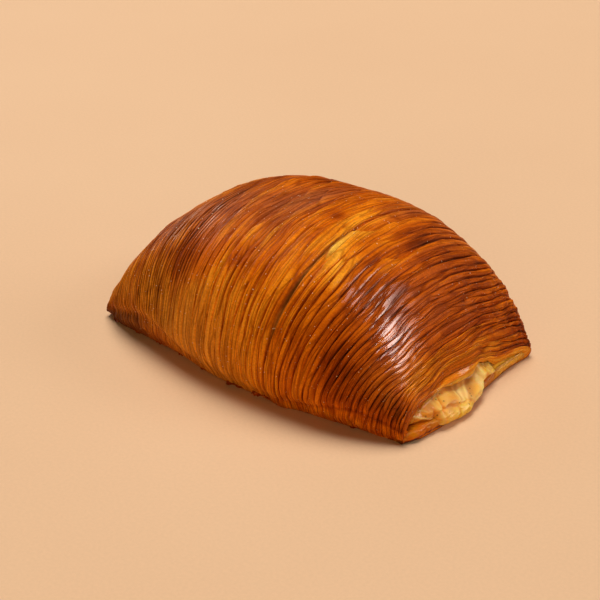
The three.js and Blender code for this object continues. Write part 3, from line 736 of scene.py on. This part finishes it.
def crust_colour():
    """Browning, painted sheen, painted highlights on the crests, painted shade in the grooves, lines and
    skirt, and the wet gold of the lower lip.
    """
    brown = clamp01(np.where(zone >= LIP, lip_browning(), skin_browning_and_shade()))
    # Painted sheen: a dull reflection of the light, painted paler, none in the grooves.
    painted_sheen = clamp01(patches(SHEEN_PATCHES, s_all, d_all) * (0.7 + 0.5 * layered_noise(q_all * 1.3, d_all / 18, 83)))
    painted_sheen = painted_sheen * (zone == OUTER) * ~is_base * (1 - groove_all)
    sheen_colour = paint(srgb(NEAR_SHEEN), FAR_SHEEN, ease(d_all, 30, 15))
    colour = mix(ramp_colour(brown), sheen_colour, 0.7 * painted_sheen[..., None])
    # Painted highlight: on the near side the crests of the layers are painted paler.
    crest_highlight_side = bump(s_all, 0.36, 0.15) * ease(d_all, 3, 5) * ease(d_all, 44, -16)
    colour = paint(colour, CREST_HIGHLIGHT, 0.55 * crest * crest_highlight_side)
    # Painted shade: the grooves and fine lines at the closed end, and the skirt below the crease there, are
    # painted darker.
    line_and_groove_shade = closed_end * clamp01(1.7 * np.maximum(groove_all, line_all))
    skirt_shade = skirt_all * ease(s_all, 0.3, -0.2)
    colour = colour * (1 - 0.72 * line_and_groove_shade - 0.56 * skirt_shade)[..., None]
    split = (np.floor(q_all) == SPLIT_RIDGE) * groove_all * ease(d_all, 22, 8) * ease(d_all, 84, -10)
    colour = paint(colour, SPLIT_TINT, 0.7 * clamp01(split * 3))
    wet = (zone >= LIP) * is_base * (1 - 2 * bottom_edge)
    wet = wet * ease(y_all, 2, 5) * (1 - 0.5 * ease(y_all, 25, 6))
    return paint(colour, WET_GOLD, 0.85 * wet)


def crust_gloss():
    """Gloss from 0 to 1: the egg wash between the grooves, glints on the crests and the wet lip."""
    wash = 0.96 + 0.42 * soft_scatter(d_all / 9, strip * 7 + 3) + 0.25 * noise(q_all * 0.6, d_all / 9, 57)
    shine = 0.1 + patches(SHINE, s_all, d_all) * clamp01(wash)
    shine = shine * (1 - (0.9 - 0.5 * spot(s_all, d_all, *GLAZE)) * groove_all)
    glints = crest * clamp01(2.4 * soft_scatter(d_all / 6, strip * 9 + 5) - 0.5)
    shine = shine + glints * patches(GLINTS, s_all, d_all)
    wet_spots = 0.45 * clamp01(0.2 + 1.8 * layered_noise(y_all / 1.3, turned * 6, 67))
    return clamp01(shine + (zone == LIP) * (0.1 + wet_spots * thick_lip * ~is_base))


class Graph:
    """Adds shader nodes by short calls."""

    def __init__(self, name):
        self.material = bpy.data.materials.new(name)
        self.material.use_nodes = True
        self.nodes = self.material.node_tree.nodes
        self.links = self.material.node_tree.links
        self.shader = self.nodes["Principled BSDF"]

    def node(self, kind, *first, **named):
        """A new node, with its first inputs in their order and others by name."""
        made = self.nodes.new(kind)
        for key, value in (*enumerate(first), *named.items()):
            self.put(made, key, value)
        return made

    def put(self, node, key, value):
        """Links a socket to an input, or sets the input's value."""
        if isinstance(value, bpy.types.NodeSocket):
            self.links.new(value, node.inputs[key])
        else:
            node.inputs[key].default_value = value

    def attribute(self, name, output="Color"):
        made = self.nodes.new("ShaderNodeAttribute")
        made.attribute_name = name
        return made.outputs[output]

    def stretched(self, vector, scale):
        return self.node("ShaderNodeMapping", Vector=vector, Scale=scale).outputs["Vector"]

    def noise(self, vector, scale, detail, rough):
        made = self.node("ShaderNodeTexNoise", Vector=vector, Scale=scale, Detail=detail, Roughness=rough)
        return made.outputs["Fac"]

    def voronoi(self, vector, feature, output):
        made = self.node("ShaderNodeTexVoronoi", Vector=vector, Scale=1.0, Randomness=1.0)
        made.feature = feature
        return made.outputs[output]

    def shifted(self, vector, amount):
        """The vector moved along its first axis."""
        step = self.node("ShaderNodeCombineXYZ", amount)
        return self.node("ShaderNodeVectorMath", vector, step.outputs["Vector"]).outputs["Vector"]

    def remap(self, value, low, high, to_low=0.0, to_high=1.0):
        return self.node("ShaderNodeMapRange", value, low, high, to_low, to_high).outputs["Result"]

    def math(self, operation, a, b):
        made = self.node("ShaderNodeMath", a, b)
        made.operation = operation
        return made.outputs["Value"]

    def blend(self, mode, factor, a, b):
        """A mix of colours: those are inputs 6 and 7 of the node, and output 2."""
        made = self.nodes.new("ShaderNodeMix")
        made.data_type = "RGBA"
        made.blend_type = mode
        for key, value in ((0, factor), (6, a), (7, b)):
            self.put(made, key, value)
        return made.outputs[2]

    def tinted(self, colour, share, low, high):
        """The colour times a tint that runs from low to high with the share."""
        return self.blend("MULTIPLY", 1.0, colour, self.blend("MIX", share, (*low, 1), (*high, 1)))

    def bump(self, height_value, distance, strength, normal=None):
        made = self.node("ShaderNodeBump", Height=height_value, Strength=strength, Distance=distance)
        if normal is not None:
            self.put(made, "Normal", normal)
        return made.outputs["Normal"]

    def set(self, **inputs):
        """Sets inputs of the main shader, with _ for each space in their names."""
        for key, value in inputs.items():
            self.put(self.shader, key.replace("_", " "), value)


def crust_material():
    g = Graph("baked_layers")
    flow_at = g.attribute("flow", "Vector")
    tone = g.attribute("tone")
    gloss = g.attribute("gloss", "Fac")
    soft = g.attribute("soft", "Fac")
    drift = g.noise(g.stretched(flow_at, (0.12, 0.045, 1.0)), 1.0, 1.0, 0.5)
    warped = g.shifted(flow_at, g.remap(drift, 0.3, 0.7, -0.5, 0.5))
    flake_at = g.stretched(warped, (0.55, 0.032, 1.0))
    flakes = g.voronoi(flake_at, "F1", "Color")
    edges = g.voronoi(flake_at, "DISTANCE_TO_EDGE", "Distance")
    threads = g.noise(g.stretched(warped, (2.1, 0.04, 1.0)), 1.0, 1.0, 0.5)
    streaks = g.noise(g.stretched(warped, (0.8, 0.03, 1.0)), 1.0, 2.0, 0.6)
    blotch = g.noise(g.stretched(flow_at, (0.45, 0.22, 1.0)), 1.0, 4.0, 0.6)
    grains = g.noise(g.stretched(flow_at, (2.1, 1.3, 1.0)), 1.0, 2.0, 0.6)
    line = g.remap(threads, 0.4, 0.46)
    rim = g.remap(edges, 0.01, 0.06)
    solid = g.math("MAXIMUM", g.math("MULTIPLY", line, rim), soft)
    light = g.tinted(tone, g.remap(streaks, 0.35, 0.65), (0.9, 0.86, 0.8), (1.08, 1.1, 1.12))
    light = g.tinted(light, flakes, (0.9, 0.87, 0.84), (1.1, 1.12, 1.13))
    toned = g.blend("MULTIPLY", g.remap(blotch, 0.48, 0.7, 0.0, 0.6), light, (0.7, 0.56, 0.44, 1))
    toned = g.tinted(toned, g.remap(grains, 0.35, 0.65), (0.88, 0.85, 0.82), (1.1, 1.11, 1.12))
    lined = g.tinted(toned, solid, (0.7, 0.62, 0.54), (1.05, 1.06, 1.07))
    # Painted glints: small pale specks mixed into the colour, where the crust is also smoother and bumped.
    speck = g.voronoi(g.stretched(flow_at, (0.95, 0.55, 1.0)), "F1", "Distance")
    glint_specks = g.remap(speck, 0.08, 0.13, 1.0, 0.0)
    painted_glints = g.math("MULTIPLY", glint_specks, g.remap(blotch, 0.45, 0.58, 0.12, 0.9))
    rough = g.math("SUBTRACT", g.remap(streaks, 0.3, 0.7, 0.56, 0.46), g.math("MULTIPLY", gloss, 0.16))
    coat = g.math("MULTIPLY", g.math("MULTIPLY", gloss, gloss), 0.9)
    normal = g.bump(solid, 0.00015, 0.9)
    normal = g.bump(flakes, 0.00022, 0.8, normal)
    normal = g.bump(streaks, 0.0003, 0.7, normal)
    normal = g.bump(grains, 0.00012, 0.7, normal)
    normal = g.bump(glint_specks, 0.00015, 0.8, normal)
    g.set(
        Base_Color=g.blend("MIX", painted_glints, lined, (1.0, 0.76, 0.5, 1)),
        Roughness=g.math("SUBTRACT", rough, g.math("MULTIPLY", glint_specks, 0.25)),
        IOR=1.15,
        Specular_Tint=(1.0, 0.56, 0.22, 1),
        Normal=normal,
        Coat_Weight=g.math("MULTIPLY", coat, g.remap(solid, 0.0, 1.0, 0.12, 1.0)),
        Coat_Roughness=0.05,
        Coat_Normal=g.bump(grains, 0.00005, 0.5),
    )
    return g.material


baked_layers = crust_material()
make_tube(
    "crust_layers", crust_points, baked_layers, "crust", "crust",
    tone=crust_colour(),
    flow=np.stack([q_all * RIDGE_PITCH, d_all, zone * 7.0], -1),
    gloss=crust_gloss(),
    soft=(zone >= LIP) * mix(0.85, 0.6, is_base),
)

# Loose flakes that hang from the foot: place along the body, length and width in millimetres.
FLAKES = (
    (0.045, 1.3, 4.6), (0.13, 0.9, 5.0), (0.22, 1.0, 4.2), (0.31, 1.1, 3.4), (0.40, 0.9, 3.6),
    (0.50, 1.8, 4.2), (0.525, 1.3, 5.4), (0.585, 1.9, 4.4), (0.61, 1.4, 5.6),
    (0.74, 0.9, 3.6), (0.86, 1.0, 3.0), (0.965, 1.1, 3.6),
)
FLAKE_ROWS = 7
FLAKE_COLUMNS = 13
FLAKE_THICKNESS = 0.3


def flake(place, length, width, seed):
    """A curled, ragged leaf, closed all round; its first edge is inside the crust."""
    row = int(np.argmin(np.abs(base_place - place)))
    root = skin[row, 1]
    along = skin[min(row + FINE, columns), 1] - skin[max(row - FINE, 0), 1]
    along = along / np.linalg.norm(along)
    outwards = np.array([along[1], -along[0], 0.0])
    u = np.linspace(0, 1, FLAKE_ROWS)[:, None]
    v = np.linspace(-0.5, 0.5, FLAKE_COLUMNS)[None, :]
    reach = u * length * (1 + 0.22 * layered_noise(v * 3, u * 2, seed)) - 0.5
    side = v * width * (1 - 0.45 * u)
    drop = 0.5 - 1.1 * u + 0.6 * u * u + 0.5 * noise(v * 3, u * 2, seed + 5)
    points = root + outwards * reach[..., None] + along * side[..., None]
    points[..., 2] = np.maximum(0.12, root[2] + drop)
    upper = points + (0, 0, FLAKE_THICKNESS)
    return np.concatenate([points, upper[:, ::-1]], 1)


flake_points, flake_faces, flake_tones = [], [], []
for number, (place, length, width) in enumerate(FLAKES):
    leaf = flake(place, length, width, 200 + 3 * number)
    start = number * leaf.shape[0] * leaf.shape[1]
    flake_points.append(leaf.reshape(-1, 3))
    flake_faces.extend([corner + start for corner in face] for face in tube_faces(*leaf.shape[:2]))
    shade = 0.66 + 0.12 * scatter(number, 9) + 0.1 * layered_noise(leaf[..., 0], leaf[..., 2] * 3, 211)
    flake_tones.append(ramp_colour(clamp01(shade)).reshape(-1, 3))
flake_points = np.concatenate(flake_points)
make_mesh(
    "crust_flakes", flake_points, flake_faces, baked_layers, "crust",
    tone=np.concatenate(flake_tones),
    flow=flake_points,
    gloss=np.full(len(flake_points), 0.3),
    soft=np.full(len(flake_points), 0.2),
)

# ---- filling


def soft_material(name, scatter_weight, coat):
    """Wet, slightly see-through matter: cooked fruit, or dough soaked with its juice."""
    g = Graph(name)
    place = g.node("ShaderNodeTexCoord").outputs["Object"]
    cloud = g.noise(place, 300.0, 4.0, 0.6)
    fine = g.noise(place, 1400.0, 2.0, 0.5)
    g.set(
        Base_Color=g.tinted(g.attribute("tone"), g.remap(cloud, 0.35, 0.65), (0.94, 0.88, 0.76), (1, 1, 1)),
        Roughness=g.remap(cloud, 0.3, 0.7, 0.42, 0.3),
        Subsurface_Weight=scatter_weight,
        Subsurface_Radius=(1.0, 0.7, 0.3),
        Subsurface_Scale=0.004,
        Specular_IOR_Level=0.16,
        Specular_Tint=(1.0, 0.72, 0.42, 1),
        Coat_Weight=coat,
        Coat_Roughness=0.12,
        Normal=g.bump(fine, 0.0001, 0.5, g.bump(cloud, 0.0005, 0.7)),
    )
    return g.material


fruit = soft_material("cooked_fruit", 0.8, 0.12)

CORE_RINGS = 20
CORE_TONE = (236, 170, 74)
core_rings = [cavity_ring(s, 0.5 + 0.5 * ease(s, 0.8, 0.2)) for s in cavity_places(CORE_RINGS)[::-1]]
core_points = np.array(core_rings)
face = core_points[-1]
core_points[-1, :, 0] += 0.8 * layered_noise(face[:, 1] / 3.1, face[:, 2] / 2.2, 111) - 0.6
core_tone = np.broadcast_to(srgb(CORE_TONE), core_points.shape)
make_tube("fruit_core", core_points, fruit, "filling", "filling", tone=core_tone)


# Soft pieces that stand in the mouth, melted together: centre, half sizes, turns about X, Y, Z in degrees.
FRUIT_PIECES = (
    ((67.0, -1.4, 5.3), (2.9, 8.6, 5.0), (0, -28, 12)),
    ((66.5, -12.0, 5.6), (2.9, 7.4, 4.9), (0, -30, 0)),
    ((69.2, -11.0, 2.4), (2.8, 6.6, 2.4), (0, 6, -8)),
    ((65.8, -20.4, 5.4), (2.9, 6.2, 3.7), (0, -24, -8)),
    ((68.6, -17.8, 3.0), (2.5, 5.2, 2.6), (0, -10, -14)),
    ((64.3, -26.4, 5.6), (2.3, 5.6, 2.1), (0, 0, -12)),
    ((65.4, 7.4, 7.0), (2.2, 3.4, 3.2), (0, -20, 10)),
    ((64.6, 14.2, 4.9), (2.3, 7.0, 1.4), (0, 0, 10)),
)
FRUIT_FULLNESS = 1.04
FRUIT_MELT = 2.6
FRUIT_DEEP = 61.0
FRUIT_MIDDLE = 66.0
FRUIT_SPAN = (-32.5, 21.5)
FRUIT_COLUMNS = 330
FRUIT_LEVELS = 150
FRUIT_LOW = 0.15
UNDER_LIP = 0.35
TUCK_DROP = 2.6
BACK_TOP = 6.4
BACK_LOW = 4.2
PALE = (255, 216, 140)
MAUVE_FLESH = (202, 140, 72)
PINK_FLESH = (224, 158, 76)
# Painted shade in the creases between the pieces.
ORANGE_CREASE_SHADE = (230, 142, 20)
AMBER_CREASE_SHADE = (206, 116, 14)
YELLOW = (255, 203, 86)
# Edges, veins and flesh of the slices, and, in the orange and amber strokes that are set in, painted shade
# in the creases:
# start and end (Y, Z), sideways bend, width, how far it stands out, colour and its share.
FRUIT_STROKES = (
    ((-7.0, 6.4), (-16.6, 5.6), 0.8, 1.3, 0.0, PINK_FLESH, 0.9),
    ((-16.6, 2.2), (-8.0, 3.0), 0.0, 2.1, 0.3, YELLOW, 1.0),
    ((-13.6, 1.2), (-12.4, 4.2), 0.0, 0.4, -0.4, ORANGE_CREASE_SHADE, 0.35),
    ((3.4, 6.6), (-6.0, 4.7), 0.0, 0.9, -0.25, MAUVE_FLESH, 0.95),
    ((-2.6, 6.9), (-9.4, 5.6), 0.0, 0.55, -0.25, MAUVE_FLESH, 0.9),
    ((5.0, 6.6), (-4.2, 3.6), -2.2, 1.1, 0.3, PALE, 0.9),
    ((1.4, 6.8), (-7.0, 5.0), 0.0, 0.22, 0.3, PALE, 0.9),
    ((-1.6, 6.8), (-10.2, 5.0), 0.0, 0.3, 0.35, PALE, 0.95),
    ((-4.4, 6.9), (-11.4, 5.6), 0.0, 0.24, 0.3, PALE, 0.8),
    ((-12.4, 8.4), (-17.4, 6.2), 0.2, 0.4, 0.3, (244, 186, 104), 0.7),
    ((-15.4, 9.4), (-19.0, 5.2), 0.3, 0.5, -0.45, ORANGE_CREASE_SHADE, 0.9),
    ((-18.2, 9.6), (-20.4, 7.8), 0.0, 0.8, -0.3, AMBER_CREASE_SHADE, 0.85),
    ((-17.2, 8.6), (-19.6, 5.6), 0.2, 0.4, 0.35, (246, 184, 92), 0.8),
    ((-20.2, 8.0), (-20.6, 2.2), -0.3, 0.9, 0.45, (248, 196, 106), 0.85),
    ((-21.9, 7.2), (-22.6, 3.2), 0.0, 0.5, -0.4, (212, 128, 36), 0.85),
    ((-22.0, 8.4), (-24.0, 5.8), 0.0, 0.9, 0.25, (224, 152, 72), 0.8),
    ((-29.2, 7.0), (-23.8, 4.8), 0.3, 0.38, 0.4, (250, 208, 132), 0.85),
    ((-27.6, 8.0), (-24.4, 7.0), 0.0, 0.35, 0.3, (238, 186, 104), 0.7),
    ((7.4, 8.6), (6.2, 6.2), 0.0, 1.0, 0.2, PALE, 0.85),
    ((8.6, 7.4), (8.6, 5.4), 0.0, 0.7, -0.3, (226, 154, 38), 0.85),
)
FLESH = (246, 184, 84)
NEAR_FLESH = (232, 150, 44)
FAR_FLESH = (242, 184, 92)
FRUIT_SEEDS = (
    (-2.0, 5.3), (-4.1, 5.1), (-4.8, 4.8), (-11.2, 5.3), (-15.1, 8.4),
    (-18.1, 8.0), (-16.3, 7.3), (-8.0, 3.9), (-21.3, 5.0), (-25.4, 5.9),
)
SEED_RADIUS = 0.28
SEED_TONE = (84, 42, 16)


def fruit_front(y, z):
    """How far out the melted pieces stand at each place across the mouth."""
    total = np.full(y.shape, math.exp(FRUIT_MELT * (FRUIT_DEEP - FRUIT_MIDDLE)))
    for at, half, turns in FRUIT_PIECES:
        turn_by = np.array(Euler(np.radians(turns)).to_matrix())
        form = turn_by @ np.diag(1 / (FRUIT_FULLNESS * np.array(half)) ** 2) @ turn_by.T
        dy, dz = y - at[1], z - at[2]
        slope = form[0, 1] * dy + form[0, 2] * dz
        rest = form[1, 1] * dy**2 + 2 * form[1, 2] * dy * dz + form[2, 2] * dz**2 - 1
        room = slope**2 - form[0, 0] * rest
        x = at[0] + (signed_power(room, 0.5) - slope) / form[0, 0]
        total += np.exp(FRUIT_MELT * (x - FRUIT_MIDDLE))
    return FRUIT_MIDDLE + np.log(total) / FRUIT_MELT


def stroke(y, z, start, end, bend, width):
    """1 along a bent line across the mouth, falling to 0 beside it and past its ends."""
    run_y, run_z = np.subtract(end, start)
    length = math.hypot(run_y, run_z)
    along = ((y - start[0]) * run_y + (z - start[1]) * run_z) / length**2
    aside = ((y - start[0]) * run_z - (z - start[1]) * run_y) / length - bend * 4 * along * (1 - along)
    past = np.maximum(0, np.abs(along - 0.5) - 0.5) * length
    return np.exp(-(aside**2 + past**2) / width**2)


fruit_y = np.linspace(*FRUIT_SPAN, FRUIT_COLUMNS)[:, None] + np.zeros((1, FRUIT_LEVELS))
# Height of the underside of the upper lip, and how far out the fruit may stand right below it.
rim = opening[:ARCH_ROWS]
under = np.interp(fruit_y, rim[:, 1], rim[:, 2])
most = np.interp(fruit_y, rim[:, 1], rim[:, 0]) + 0.2
fruit_z = FRUIT_LOW + (under - UNDER_LIP - FRUIT_LOW) * np.linspace(0, 1, FRUIT_LEVELS)[None, :]
fruit_x = fruit_front(fruit_y, fruit_z)
fruit_x += 0.3 * layered_noise(fruit_y / 2.4, fruit_z / 1.8, 113)
fruit_x += 0.1 * layered_noise(fruit_y / 0.7, fruit_z / 0.6, 117)
fibre = np.sin(6 * (fruit_z - 0.12 * fruit_y) + 2.5 * layered_noise(fruit_y / 3, fruit_z / 2, 119))
fruit_x += 0.05 * fibre
fruit_tone = paint(srgb(FLESH), NEAR_FLESH, ease(fruit_y, -18.0, -3))
fruit_tone = paint(fruit_tone, FAR_FLESH, ease(fruit_y, 8, 3))
fruit_tone *= (1.05 + 0.06 * fibre + 0.12 * layered_noise(fruit_y / 1.6, fruit_z / 1.2, 121))[..., None]
for start, end, bend, width, stands, tint, share in FRUIT_STROKES:
    mark = stroke(fruit_y, fruit_z, start, end, bend, width)
    fruit_x += stands * mark
    fruit_tone = paint(fruit_tone, tint, share * mark)
tuck = smooth(1 - (under - UNDER_LIP - fruit_z) / TUCK_DROP)
fruit_x = mix(fruit_x, np.minimum(fruit_x, most), tuck)
for y, z in FRUIT_SEEDS:
    aside = (fruit_y - y) ** 2 + (fruit_z - z) ** 2
    away = aside + (fruit_x - fruit_x.flat[np.argmin(aside)]) ** 2
    fruit_tone = paint(fruit_tone, SEED_TONE, 0.8 * np.exp(-(away / SEED_RADIUS**2) ** 2))
back_x = np.full((FRUIT_COLUMNS, 1), FRUIT_DEEP - 1)
back_z = np.minimum(fruit_z[:, -1:], BACK_TOP)
fruit_points = np.stack([
    np.concatenate([fruit_x, back_x, back_x], 1),
    np.concatenate([fruit_y, fruit_y[:, :2]], 1),
    np.concatenate([fruit_z, back_z, np.minimum(back_z, BACK_LOW)], 1),
], -1)
fruit_tone = np.concatenate([fruit_tone, fruit_tone[:, -2:]], 1)
make_tube("fruit_pieces", fruit_points, fruit, "filling", "filling", tone=fruit_tone)

# The wet lower lip, finer than the crust below it and standing just outside it.
LIP_COLUMNS = 300
LIP_LEVELS = 36
LIP_ENDS = 35.5
LIP_DEPTH = 4.5
LIP_SHAPE_AT = (0.0, 0.12, 0.26, 0.4, 0.54, 0.68, 0.8, 0.9, 1.0)
LIP_SHAPE_OUT = (-0.5, 0.15, 0.55, 0.7, 0.6, 0.2, -0.5, -1.4, -2.6)
LIP_SHAPE_UP = (0.02, 0.1, 0.28, 0.48, 0.68, 0.85, 0.96, 1.0, 0.98)
BLISTERS = 46
GOLD_DEEP = (206, 128, 22)
GOLD_PALE = (246, 184, 58)
AMBER = (214, 138, 20)
FAR_CORNER = (200, 122, 24)
lip_row = np.linspace(-LIP_ENDS, LIP_ENDS, LIP_COLUMNS)
lip_y, lip_t = np.meshgrid(lip_row, np.linspace(0, 1, LIP_LEVELS), indexing="ij")
ends = ease(np.abs(lip_y), LIP_ENDS - 5, 5)
lip_out = 0.6 * layered_noise(lip_y / 3.0, lip_t * 2.4, 131)
lip_out += 0.16 * layered_noise(lip_y / 0.9, lip_t * 6, 133)
lip_tone = 0.38 + 0.24 * layered_noise(lip_y / 3.2, lip_t * 1.8, 135) + 0.35 * ease(lip_t, 0.2, -0.2)
for number in range(BLISTERS):
    y, t = 34 * scatter(number, 141), 0.55 + 0.38 * scatter(number, 142)
    mark = bump(lip_y, y, 0.45 + 0.2 * scatter(number, 143)) * bump(lip_t, t, 0.07)
    lip_out += 0.16 * mark
    lip_tone -= 0.1 * mark
near_lip = ease(lip_y, -14, -5)
lip_tone += 0.14 * near_lip + (0.15 + 0.4 * near_lip) * ease(lip_t, 0.4, -0.2)
golden = paint(srgb(GOLD_DEEP), GOLD_PALE, ease(lip_y, 13, 5))
gold_share = 0.85 * ease(lip_y, 1, 5) * ease(lip_t, 0.08, 0.3)
lip_colour = mix(ramp_colour(clamp01(lip_tone)), golden, gold_share[..., None])
amber_spots = clamp01(0.7 + layered_noise(lip_y / 1.6, lip_t * 4, 137))
lip_colour = paint(lip_colour, AMBER, 0.65 * near_lip * ease(lip_t, 0.3, 0.2) * amber_spots)
lip_colour = paint(lip_colour, FAR_CORNER, 0.7 * ease(lip_y, 29, 5))
lip_x = lower_lip(lip_y) + np.interp(lip_t, LIP_SHAPE_AT, LIP_SHAPE_OUT)
lip_x += lip_out * np.sin(np.pi * lip_t) - 1.6 * ends
lip_z = FRUIT_LOW + lip_value(LIP_LOW, lip_y) * np.interp(lip_t, LIP_SHAPE_AT, LIP_SHAPE_UP) - 0.4 * ends
lip_z = np.maximum(FRUIT_LOW, lip_z)
inner = lower_lip(lip_y[:, :2]) - LIP_DEPTH
lip_points = np.stack([
    np.concatenate([lip_x, inner], 1),
    np.concatenate([lip_y, lip_y[:, :2]], 1),
    np.concatenate([lip_z, lip_z[:, -1:] - 0.6, np.full((LIP_COLUMNS, 1), 0.4)], 1),
], -1)
lip_colour = np.concatenate([lip_colour, lip_colour[:, -2:]], 1)
make_tube("crust_lower_lip", lip_points, soft_material("soaked_dough", 0.25, 0.03), "crust", tone=lip_colour)

# ---- floor, light and camera

# Below, sizes are in metres.
FLOOR_HALF = 2.0
LIGHT_TARGET = (0, 0, 0.02)
# Name, direction, distance, size, power, colour, whether it shows in gloss, and whether on matt surfaces.
LIGHTS = (
    ("key_light", (0.62, 0.5, 0.5), 2.4, (0.9, 0.9), 9.5, (1.0, 0.96, 0.9), True, True),
    ("top_light", (-0.22, 0.2, 0.94), 2.4, (1.4, 1.4), 58.5, (1.0, 0.98, 0.94), False, True),
    ("fill_light", (0.42, -0.8, 0.32), 2.0, (1.8, 1.0), 9.6, (1.0, 0.77, 0.43), False, True),
    ("gloss_card", (0.62, 0.5, 0.5), 2.2, (1.05, 1.1), 46, (1.0, 0.93, 0.86), True, False),
    ("gloss_card_high", (0.3, 0.15, 0.95), 2.2, (0.6, 0.45), 12, (1.0, 0.96, 0.94), True, False),
    ("gloss_card_back", (-0.85, 0.25, 0.45), 2.2, (1.1, 0.7), 18, (1.0, 0.9, 0.78), True, False),
)
WORLD_TINT = (1.0, 0.56, 0.2, 1)
WORLD_STRENGTH = 0.035
CAMERA_AT = (0.29323, -0.35825, 0.25927)
CAMERA_LOOKS_AT = (-0.00468, -0.00498, 0.01459)
FIELD_OF_VIEW = 22.0
SENSOR_WIDTH = 36.0


def floor_material():
    g = Graph("warm_paper")
    place = g.node("ShaderNodeTexCoord").outputs["Object"]
    cloud = g.noise(place, 6.0, 4.0, 0.55)
    grain = g.noise(place, 900.0, 3.0, 0.6)
    warm = g.blend("MIX", g.remap(cloud, 0.3, 0.7), (0.77, 0.49, 0.29, 1), (0.79, 0.51, 0.305, 1))
    g.set(
        Base_Color=g.tinted(warm, g.remap(grain, 0.3, 0.7), (0.97, 0.965, 0.96), (1.02, 1.02, 1.02)),
        Roughness=g.remap(grain, 0.3, 0.7, 0.75, 0.85),
        Normal=g.bump(grain, 0.00008, 0.5),
    )
    return g.material


def make_floor():
    corners = [(x * FLOOR_HALF, y * FLOOR_HALF, 0) for x, y in ((-1, -1), (1, -1), (1, 1), (-1, 1))]
    mesh = bpy.data.meshes.new("floor")
    mesh.from_pydata(corners, [], [(0, 1, 2, 3)])
    mesh.materials.append(floor_material())
    add_object("floor", mesh)


def aim(item, target):
    item.rotation_mode = "QUATERNION"
    item.rotation_quaternion = (Vector(target) - item.location).to_track_quat("-Z", "Y")


def area_light(name, towards, distance, size, power, tint, in_gloss, on_matt):
    data = bpy.data.lights.new(name, "AREA")
    data.shape = "RECTANGLE"
    data.size, data.size_y = size
    data.energy = power
    data.color = tint
    light = add_object(name, data)
    light.location = Vector(towards).normalized() * distance
    aim(light, LIGHT_TARGET)
    light.visible_glossy = in_gloss
    light.visible_diffuse = on_matt


def make_world():
    world = bpy.data.worlds.new("studio")
    world.use_nodes = True
    background = world.node_tree.nodes["Background"]
    background.inputs["Color"].default_value = WORLD_TINT
    background.inputs["Strength"].default_value = WORLD_STRENGTH
    bpy.context.scene.world = world


def make_camera():
    data = bpy.data.cameras.new("camera")
    data.sensor_fit = "HORIZONTAL"
    data.sensor_width = SENSOR_WIDTH
    data.lens = SENSOR_WIDTH / 2 / math.tan(math.radians(FIELD_OF_VIEW / 2))
    data.clip_start = 0.01
    camera = add_object("camera", data)
    camera.location = CAMERA_AT
    aim(camera, CAMERA_LOOKS_AT)
    bpy.context.scene.camera = camera


make_floor()
for row in LIGHTS:
    area_light(*row)
make_world()
make_camera()
bpy.context.scene.view_settings.view_transform = "Standard"
